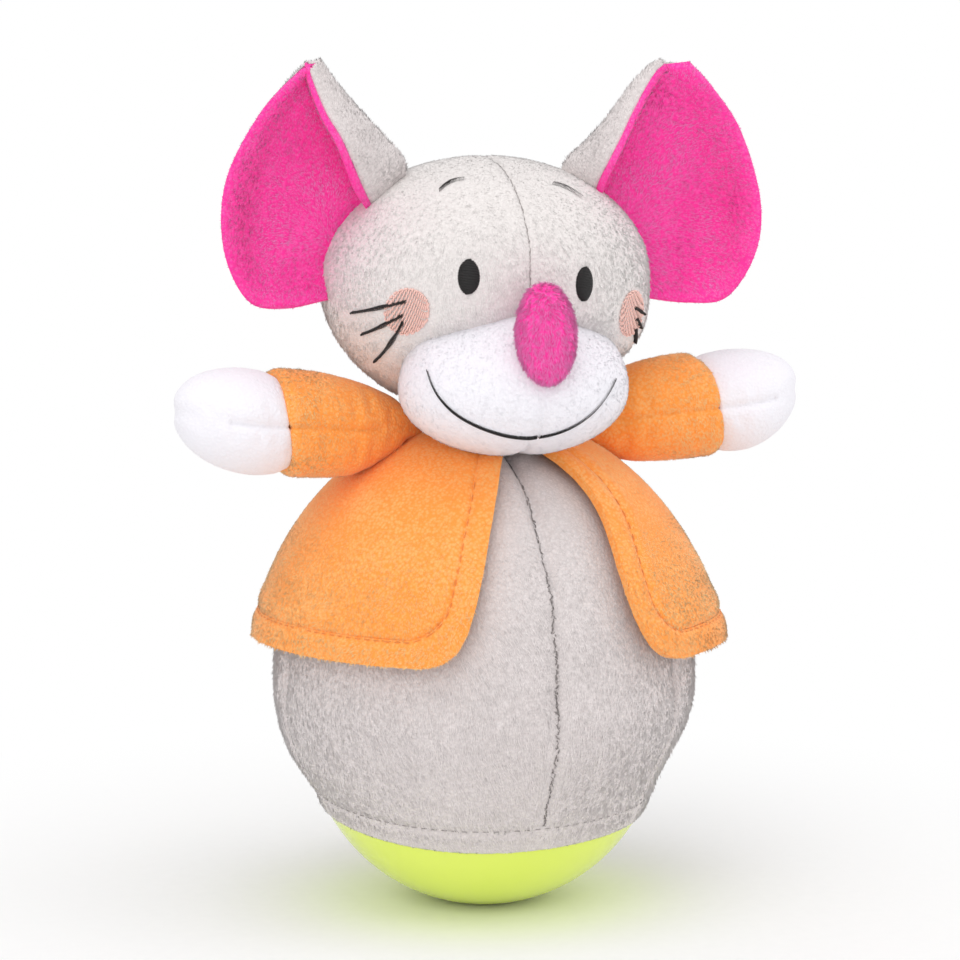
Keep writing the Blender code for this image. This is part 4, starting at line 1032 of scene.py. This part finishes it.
def makeEars():
    across, along = ear["steps"]
    count = across * along
    # the grid's edge, once round
    cells = np.arange(count).reshape(across, along)
    rim = [*cells[0], *cells[1:, -1], *cells[-1, -2::-1], *cells[-2:0:-1, 0]]
    faces = gridFaces(across, along)
    faces += [[i + count for i in face[::-1]] for face in faces]
    faces += [[i, j, j + count, i + count] for i, j in zip(rim, rim[1:] + rim[:1])]
    span = np.linspace(0, 1, across)
    toRim = np.minimum(span, 1 - span)
    toTip = (1 - np.linspace(0, 1, along) ** 6) * 0.5
    loft = np.sqrt(np.clip(np.minimum(toRim[:, None], toTip) / ear["rimRound"], 0, 1)).reshape(-1, 1)
    # the folded edge stands up as a soft roll beside its seam
    roll = -1.1 * dip(span - ear["edgeSeam"], 0.016) + 0.9 * dip(span - ear["edgeRoll"], 0.035)
    # at both rims the lining turns over the edge, and the back stops short of it
    turned = np.clip((ear["bead"][0] - span) / 0.02 + 0.5, 0, 1) + np.clip((span - ear["bead"][1]) / 0.02 + 0.5, 0, 1)
    roll, turned = (np.repeat(values, along)[:, None] for values in (roll, turned))
    for side, sign in sides.items():
        for layer, way, backing, fur, slotName in (("lining", 1, pinkBacking, pinkPile, "pink_plush"),
                                                   ("back", -1, greyBacking, greyPile, "grey_plush")):
            lining, mirror = way > 0, np.array((sign, 1, 1))
            grid = earGrid(side, 0, 1, 1) if lining else earGrid(side, *ear["backEnds"], ear["backTip"])
            middle = grid.reshape(-1, 3)
            front = unit(np.cross(np.gradient(grid, axis=0), np.gradient(grid, axis=1))).reshape(-1, 3)
            if front[across // 3 * along + along // 2, 1] > 0:
                front = -front
            puff = 0.35 + (ear["thickness"] / 2 + (roll if lining else 0)) * loft
            face = middle + front * way * puff
            inside = middle + front * way * (0.15 - (1.1 * turned * loft if lining else 0))
            skin = fromArrays(f"ear_{layer}_{side}_skin", np.vstack([face, inside]), faces)
            faceOut(skin)
            smooth(dress(skin, backing))
            outward = KDTree(count)
            for i, spot in enumerate(face):
                outward.insert(spot, i)
            outward.balance()

            def earComb(root, normal):
                sway = ripple(root, 22, 6)[:, None] * np.cross(normal, (0, 0, 1)) * 0.25
                return unit(root - mirror * ear["middle"]) + sway + (0, 0, -0.3)

            def earKeep(root, normal):
                # on the outer face and the turned edge, shorter towards the rim
                inHead = np.linalg.norm(root / (41.0, 38.5, 30.0), axis=1) < 1
                nearest = np.array([outward.find(p)[1] for p in root])
                facing = (front[nearest] * normal).sum(1) * way
                rimmed = np.minimum(toRim[nearest // along], (1 - nearest % along / along) * 0.6)
                shown = (facing > 0.15) | ((turned[nearest, 0] > 0.4) & lining)
                return np.where(inHead | ~shown, 0, np.clip(0.4 + rimmed * 6, 0.4, 1))

            lots = growPile(f"ear_{layer}_{side}_pile", skin, earPileLook, earComb, earKeep, fur, 51 + way * sign)
            for piece in [skin, *lots]:
                intoHead(piece)
                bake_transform(piece)
            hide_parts(f"ear_{layer}_{side}")


makeEars()
print("ears made")


# jacket: a back and two fronts of orange plush, open in front, flared at the hem

jacket = {"neck": 116.4, "hem": {"left": 66.6, "right": 68.0}, "ease": {"left": 1.8, "right": 0.9},
          "flareFront": 2.0, "flareSide": {"left": 3.4, "right": 2.0}, "thickness": 2.2, "edgeRound": 0.8,
          "sideSeam": 76.0, "frontRow": 6.0, "hemRow": 6.6, "corner": 8.0, "rows": 52,
          "columns": {"left": 60, "right": 60, None: 130}, "plainBelow": 77.0, "plainSlope": 0.006, "stitchTop": 110,
          "stitchStep": 0.65, "stitchEnd": 1.29}
# where each front's edge runs, as degrees from the middle by height, with its round lower corner
frontLine = {
    "right": ((68.0, 38.0), (68.3, 36.0), (69.3, 32.9), (71.6, 29.8), (75.8, 27.4), (82.5, 25.3), (89.8, 23.5),
              (97.2, 21.7), (103.8, 19.4), (109.7, 16.4), (112.9, 13.3), (116.4, 8.0)),
    "left": ((66.6, 31.0), (67.2, 27.0), (68.4, 24.0), (70.4, 21.4), (73.7, 19.2), (77.6, 17.7), (83.0, 16.9),
             (88.5, 16.8), (94.1, 17.8), (99.6, 19.3), (104.0, 19.8), (108.2, 19.0), (111.4, 16.4), (116.4, 9.0))}
jacketPileLook = {"perSquareMm": 4.6, "length": 0.95, "width": 0.3, "lean": 77, "stray": 0.26, "softness": 0.96,
                  "streaks": 0.6}
# how much lighter the band beyond the topstitching and the field inside it are drawn, by side: partly nap brushed
# another way, partly painted light that differs from side to side
jacketNapAndLight = {"right": (2.4, -0.6), "left": (-1.0, 2.8), None: (0.5, 0.0)}


def bySide(azimuth, values):
    # from the right side's value to the left side's, smoothly round the back and the front
    return values["right"] + (values["left"] - values["right"]) * (0.5 + 0.5 * np.sin(azimuth))


def jacketSpot(azimuth, height):
    share = max(0.0, (jacket["neck"] - height) / (jacket["neck"] - jacket["hem"]["right"]))
    aside = math.sin(azimuth) ** 2
    flare = jacket["flareFront"] + (bySide(azimuth, jacket["flareSide"]) - jacket["flareFront"]) * aside
    away = bySide(azimuth, jacket["ease"]) + flare * share ** 2 + 0.5 * math.sin(azimuth * 7 + 0.6) * share ** 3
    angle = math.asin(max(-1.0, min(1.0, (height - body["widest"]) / body["up"])))
    normal = Vector((math.cos(angle) / body["radius"], math.sin(angle) / body["up"])).normalized()
    radius = body["radius"] * math.cos(angle) + normal.x * away
    top = body["widest"] + body["up"] * math.sin(angle) + normal.y * away
    return (radius * math.sin(azimuth), -radius * math.cos(azimuth), top)


def frontEdge(height, side):
    heights, degrees = zip(*frontLine[side])
    return np.radians(np.interp(height, heights, degrees))


def plainEdge(height, side):
    # the front edge carried straight down past its round corner
    low = jacket["plainBelow"]
    return frontEdge(np.maximum(height, low), side) + (low - np.minimum(height, low)) * jacket["plainSlope"]


def jacketRows(hem):
    low, high = (math.asin((height - body["widest"]) / body["up"]) for height in (hem, jacket["neck"]))
    shares = np.linspace(0, 1, jacket["rows"]) ** 1.4
    return [body["widest"] + body["up"] * math.sin(low + (high - low) * s) for s in shares]


def rowDistance(spots, side):
    # how far inside the topstitching, which follows the front edge and the hem and meets at a round corner
    if side is None:
        return spots[:, 2] - bySide(np.arctan2(spots[:, 0], -spots[:, 1]), jacket["hem"]) - jacket["hemRow"]
    azimuth = np.arctan2(spots[:, 0] * sides[side], -spots[:, 1])
    radius = np.hypot(spots[:, 0], spots[:, 1])
    front = (azimuth - plainEdge(spots[:, 2], side)) * radius - jacket["frontRow"]
    low = spots[:, 2] - jacket["hem"][side] - jacket["hemRow"]
    bend = jacket["corner"]
    curve = bend - np.hypot(np.clip(bend - front, 0, None), np.clip(bend - low, 0, None))
    return np.where((front < bend) & (low < bend), curve, np.minimum(front, low))


def jacketComb(root, normal):
    return ripple(root, 14, 9)[:, None] * np.cross(normal, (0, 0, 1)) * 0.6 + (0, 0, -1.0)


def makeCloth(name, side):
    rows, columns = jacket["rows"], jacket["columns"][side]
    seam = math.radians(jacket["sideSeam"])
    grid = np.empty((rows, columns, 3))
    for column, share in enumerate(np.linspace(0, 1, columns)):
        azimuth = seam + (2 * math.pi - 2 * seam) * share
        for row, height in enumerate(jacketRows(jacket["hem"][side] if side else bySide(azimuth, jacket["hem"]))):
            if side:
                start = frontEdge(height, side)
                azimuth = sides[side] * (start + (seam - start) * share)
            grid[row, column] = jacketSpot(azimuth, height)
    cloth = fromArrays(name, grid.reshape(-1, 3), gridFaces(rows, columns))
    faceOut(cloth)
    if (normalsOf(cloth)[:, :2] * places(cloth)[:, :2]).sum() < 0:
        cloth.data.flip_normals()
    row = np.abs(rowDistance(places(cloth), side))
    pushOut(cloth, 0.35 * dip(row - 2.8, 1.6) - 0.65 * dip(row, 0.9))
    return cloth


def topStitches(side):
    # along the front edge, round the corner and along the hem, or along the back's hem
    if side is None:
        turns = np.arange(1.36, 4.92, 0.046)
        heights = bySide(turns, jacket["hem"]) + jacket["hemRow"]
        return [((a, z), (a + 0.034, z), 1.0) for a, z in zip(turns, heights)]
    base, bend, step = jacket["hem"][side] + jacket["hemRow"], jacket["corner"], jacket["stitchStep"]
    path = [(0, rise) for rise in np.arange(jacket["stitchTop"] - base, bend, -step)]
    path += [(bend - bend * math.cos(a), bend - bend * math.sin(a)) for a in np.linspace(0, math.pi / 2, 20)]
    path += [(out, 0) for out in np.arange(bend, 70, step)]
    line = []
    for out, rise in path:
        z = base + rise
        turn = plainEdge(z, side) + (out + jacket["frontRow"]) / (bodyRadiusAt(z) + 3)
        if turn < jacket["stitchEnd"]:
            line.append((sides[side] * turn, z))
    return [(line[i], line[i + 3], 1.0) for i in range(0, len(line) - 3, 4)]


def makeJacket():
    for node, side in (("jacket_back", None), ("jacket_front_left", "left"), ("jacket_front_right", "right")):
        panel = makeCloth(node + "_cloth", side)
        flat = places(panel).reshape(jacket["rows"], -1, 3)
        outside = surfaceOf(panel)
        thicken(panel, jacket["thickness"], 1)
        soften = panel.modifiers.new("edge", "BEVEL")
        soften.width = jacket["edgeRound"] * mm
        soften.segments = 3
        soften.angle_limit = math.radians(50)
        applyAll(panel)
        smooth(dress(panel, orangeBacking))
        outer = surfaceOf(panel)

        def jacketKeep(root, normal):
            # fibres on the outer face and round the edges, none on the inner face
            facing = np.array([outside.find_nearest(p)[1].dot(Vector(n)) for p, n in zip(root, normal)])
            # short round the edges, and near the neck, where the muzzle passes
            longest = np.where(facing < 0.8, 0.6, 1) * (1 - 0.6 * ramp(root[:, 2], 84, 18))
            return np.where(facing < -0.3, 0, np.clip(0.3 + np.abs(rowDistance(root, side)) / 1.5, 0.3, longest))

        def paintedLightAndTone(root):
            # painted light on the band and the field, differing by side, painted shade along the topstitching's furrow,
            # and uneven tone
            inside = rowDistance(root, side)
            return np.where(inside < 0, *jacketNapAndLight[side]) - 3.2 * dip(inside, 0.5) + 0.8 * ripple(root, 11, 12)

        def onPanel(azimuth, height):
            point, normal = fromOutside(outer, azimuth, height)
            if point is None:
                point, normal, _, _ = outer.find_nearest(Vector(jacketSpot(azimuth, height)))
            return point, normal

        lots = growPile(f"{node}_pile", panel, dict(jacketPileLook, paintedLightAndTone=paintedLightAndTone), jacketComb, jacketKeep, orangePile,
                        61 + len(node))
        rows = sew(f"{node}_stitches", topStitches(side), onPanel, 0.17, 0.12, orangeThread)
        for piece in [panel, rows, *lots]:
            if side:
                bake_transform(piece)
            else:
                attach(piece, "body")
        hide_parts(node)


makeJacket()
print("jacket made")


# arms: stuffed sleeves drawn in to the neck, and soft white hands with a blunt point

arm = {"length": 19.2, "tip": 43.8, "widest": 26.0, "hand": 13.0, "forward": 10.0, "rise": 4.0, "lift": 1.0,
       "tipLift": 2.2, "slant": {"left": -0.2, "right": 0.12}, "cuff": {"left": -0.2, "right": -2.4},
       "cuffFront": {"left": 2.0, "right": 3.2}, "inset": 0.7, "voxel": 1.6, "slack": 0.06, "cap": 0.9, "steps": 48}
sleeveForm = ((0, -27), (2.2, -26.5), (3.8, -24), (5.8, -19), (8.2, -13), (10.4, -7), (12.0, -1), (12.8, 5),
              (13.1, 11), (13.2, 17), (12.9, 19.2), (0, 19.2))  # radius, and place along the arm from the shoulder
# painted light: the sleeves' pile is drawn a little lighter all over, with uneven tone
sleevePileLook = dict(jacketPileLook, paintedLightAndTone=lambda root: 1.6 + 0.9 * ripple(root, 10, 13))


def bendArm(piece, side):
    # the arm rises outwards a little, its cuff leans, and the hand's tip sits high
    spots = places(piece)
    along = spots[:, 0].copy()
    ease = ramp(along, -12, 30)
    ease = ease * ease * (3 - 2 * ease)
    tipShare = ramp(along, arm["length"], arm["tip"] - arm["length"])
    around = np.arctan2(spots[:, 2], spots[:, 1])
    front = np.clip(-sides[side] * spots[:, 1] / arm["hand"], 0, 1)
    cuff = arm["cuff"][side] + arm["cuffFront"][side] * front + 0.3 * np.sin(3 * around + 1)
    spots[:, 0] += ease * (arm["slant"][side] * spots[:, 2] + cuff) * (1 - tipShare)
    spots[:, 2] += np.clip(along, 0, None) * math.tan(math.radians(arm["rise"])) + arm["lift"] * ease
    spots[:, 2] += arm["tipLift"] * tipShare ** 2
    setPlaces(piece, spots)


def sleeveKeep(root, normal):
    # short along the seam, and by the shoulder, where the muzzle passes; none inside the cuff
    longest = 0.3 + 0.7 * ramp(root[:, 0], -2, 12)
    height = np.clip(0.15 + np.abs(root[:, 2] - root[:, 0] * 0.07 - 0.8) / 1.5, 0.15, longest)
    return np.where((root[:, 0] > arm["length"] - 1) & (normal[:, 0] > 0.75), 0, height)


def outwardComb(root, normal):
    return ripple(root, 12, 7)[:, None] * np.cross(normal, (1, 0, 0)) * 0.5 + (0.35, 0, -0.8)


def makeArms():
    shoulders = {j["child"]: j["pos_m"] for j in frame["joints"] if j["name"].startswith("arm")}
    inset, length, widest = arm["inset"], arm["length"], arm["widest"]
    handForm = [(0, length - 1.0), (11.0, length - 1.0), (11.6, length + 0.6)]
    handForm += [((arm["hand"] - inset) * math.cos(a) ** 0.9, widest + (arm["tip"] - inset - widest) * math.sin(a))
                 for a in np.linspace(0, math.pi / 2, 22)]
    innerForm = [(max(0, r - inset), z) for r, z in sleeveForm]
    for side, sign in sides.items():
        turn = -arm["forward"] if sign > 0 else 180 + arm["forward"]
        place = Matrix.Translation(shoulders[f"arm_{side}"]) @ Matrix.Rotation(math.radians(turn), 4, "Z")
        for node, form, backing, slotName in (("sleeve", innerForm, orangeBacking, "orange_plush"),
                                              ("hand", handForm, whiteBacking, "white_plush")):
            skin = spun(f"{node}_{side}_skin", [(z, 0, r) for r, z in form], arm["steps"], (1, 0, 0))
            swell(skin, arm, lambda s: (np.abs(s[:, 2]) < 0.8) | (np.abs(s[:, 0] - length) < 1.2))
            groove(skin, lambda s: np.where((s[:, 0] > -8) & (s[:, 0] < arm["tip"] - 9), s[:, 2], 9), 0.8, 0.8)
            bendArm(skin, side)
            dress(skin, backing)
            lots = []
            if node == "sleeve":
                lots = growPile(f"sleeve_{side}_pile", skin, sleevePileLook, outwardComb, sleeveKeep, orangePile,
                                71 + sign)
            for piece in [skin, *lots]:
                piece.data.transform(place)
                piece.data.update()
                if node == "sleeve":
                    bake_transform(piece)
                else:
                    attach(piece, f"arm_{side}")
            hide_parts(f"{node}_{side}")


makeArms()
print("arms made")


# the inner hard pieces keep their shapes and get their finishes

for material, nodes in ((naturalPlastic, ("capsule_dome", "chime_base", "clapper")), (castIron, ("ballast_weight",)),
                        (drawnSteel, ("ballast_screw", "chime_rod_low", "chime_rod_high", "clapper_pin"))):
    for node in nodes:
        dress(frame["nodes"][node], material)


# floor, light and camera

studio = {"floorHex": ("f4f4f4", "f8f8f8"), "fade": (0.03, 0.22), "world": 0.75, "aim": (0, 0, 0.1)}
lamps = {"key_light": {"watts": 3.4, "size": 0.9, "spot": (-0.75, -0.8, 0.55)},
         "fill_light": {"watts": 1.7, "size": 0.8, "spot": (0.85, -0.45, 0.4)},
         "top_light": {"watts": 2.4, "size": 0.8, "spot": (-0.15, -0.25, 1.05)}}
cameraLook = {"azimuth": -23.5, "distance": 745.0, "height": 200.0, "aimHeight": 106.0, "focalPixels": 3013.0,
              "axisPixel": 484.0, "imageWidth": 960.0}


def seenDirectly(tree):
    path = addNode(tree, "LightPath").outputs
    either = {"operation": "MAXIMUM"}
    return addNode(tree, "Math", either, _0=path["Is Camera Ray"], _1=path["Is Glossy Ray"]).outputs[0]


def aimAt(holder, spot, aim):
    holder.location = spot
    holder.rotation_euler = (Vector(aim) - Vector(spot)).to_track_quat("-Z", "Y").to_euler()


def makeStudio():
    bpy.ops.object.select_all(action="DESELECT")
    bpy.ops.mesh.primitive_plane_add(size=6)
    floor = bpy.context.object
    floor.name = "studio_floor"
    made, tree, shader = newMaterial("paintedFloor")
    where = addNode(tree, "TexCoord").outputs["Object"]
    speck = addNode(tree, "TexNoise", Vector=where, Scale=300.0).outputs["Fac"]
    dark, light = (linear(code) for code in studio["floorHex"])
    colour = addNode(tree, "Mix", asColour, Factor=speck, _6=dark, _7=light).outputs[2]
    feed(tree, shader, Base_Color=colour, Roughness=0.9, Specular_IOR_Level=0.1)
    # far from the toy the floor turns into the plain white of the backdrop
    far = addNode(tree, "VectorMath", {"operation": "LENGTH"}, _0=where).outputs["Value"]
    near, gone = studio["fade"]
    fade = addNode(tree, "MapRange", {"interpolation_type": "SMOOTHSTEP"}, Value=far, _1=near, _2=gone).outputs[0]
    white = addNode(tree, "Emission", Color=(1, 1, 1, 1), Strength=1.0).outputs[0]
    share = addNode(tree, "Math", {"operation": "MULTIPLY"}, _0=fade, _1=seenDirectly(tree)).outputs[0]
    both = addNode(tree, "MixShader", _0=share, _1=shader.outputs[0], _2=white).outputs[0]
    feed(tree, tree.nodes["Material Output"], Surface=both)
    dress(floor, made)

    world = bpy.data.worlds.new("studio")
    bpy.context.scene.world = world
    world.use_nodes = True
    tree = world.node_tree
    level = addNode(tree, "MapRange", Value=seenDirectly(tree), _3=studio["world"], _4=1.0).outputs[0]
    feed(tree, tree.nodes["Background"], Color=(1, 1, 1, 1), Strength=level)

    for name, look in lamps.items():
        lamp = bpy.data.lights.new(name, "AREA")
        lamp.energy = look["watts"]
        lamp.shape = "DISK"
        lamp.size = look["size"]
        aimAt(linked(name, lamp), look["spot"], studio["aim"])


def makeCamera():
    angle, distance, width = math.radians(cameraLook["azimuth"]), cameraLook["distance"], cameraLook["imageWidth"]
    data = bpy.data.cameras.new("photo_camera")
    data.sensor_width = 36.0
    data.lens = cameraLook["focalPixels"] / width * data.sensor_width
    data.shift_x = -(cameraLook["axisPixel"] / width - 0.5)
    data.clip_start, data.clip_end = 0.05, 20.0
    camera = linked("photo_camera", data)
    spot = Vector((math.sin(angle) * distance, -math.cos(angle) * distance, cameraLook["height"])) * mm
    aimAt(camera, spot, (0, 0, cameraLook["aimHeight"] * mm))
    bpy.context.scene.camera = camera


makeStudio()
makeCamera()
bpy.context.scene.view_settings.view_transform = "Standard"
print("studio made")
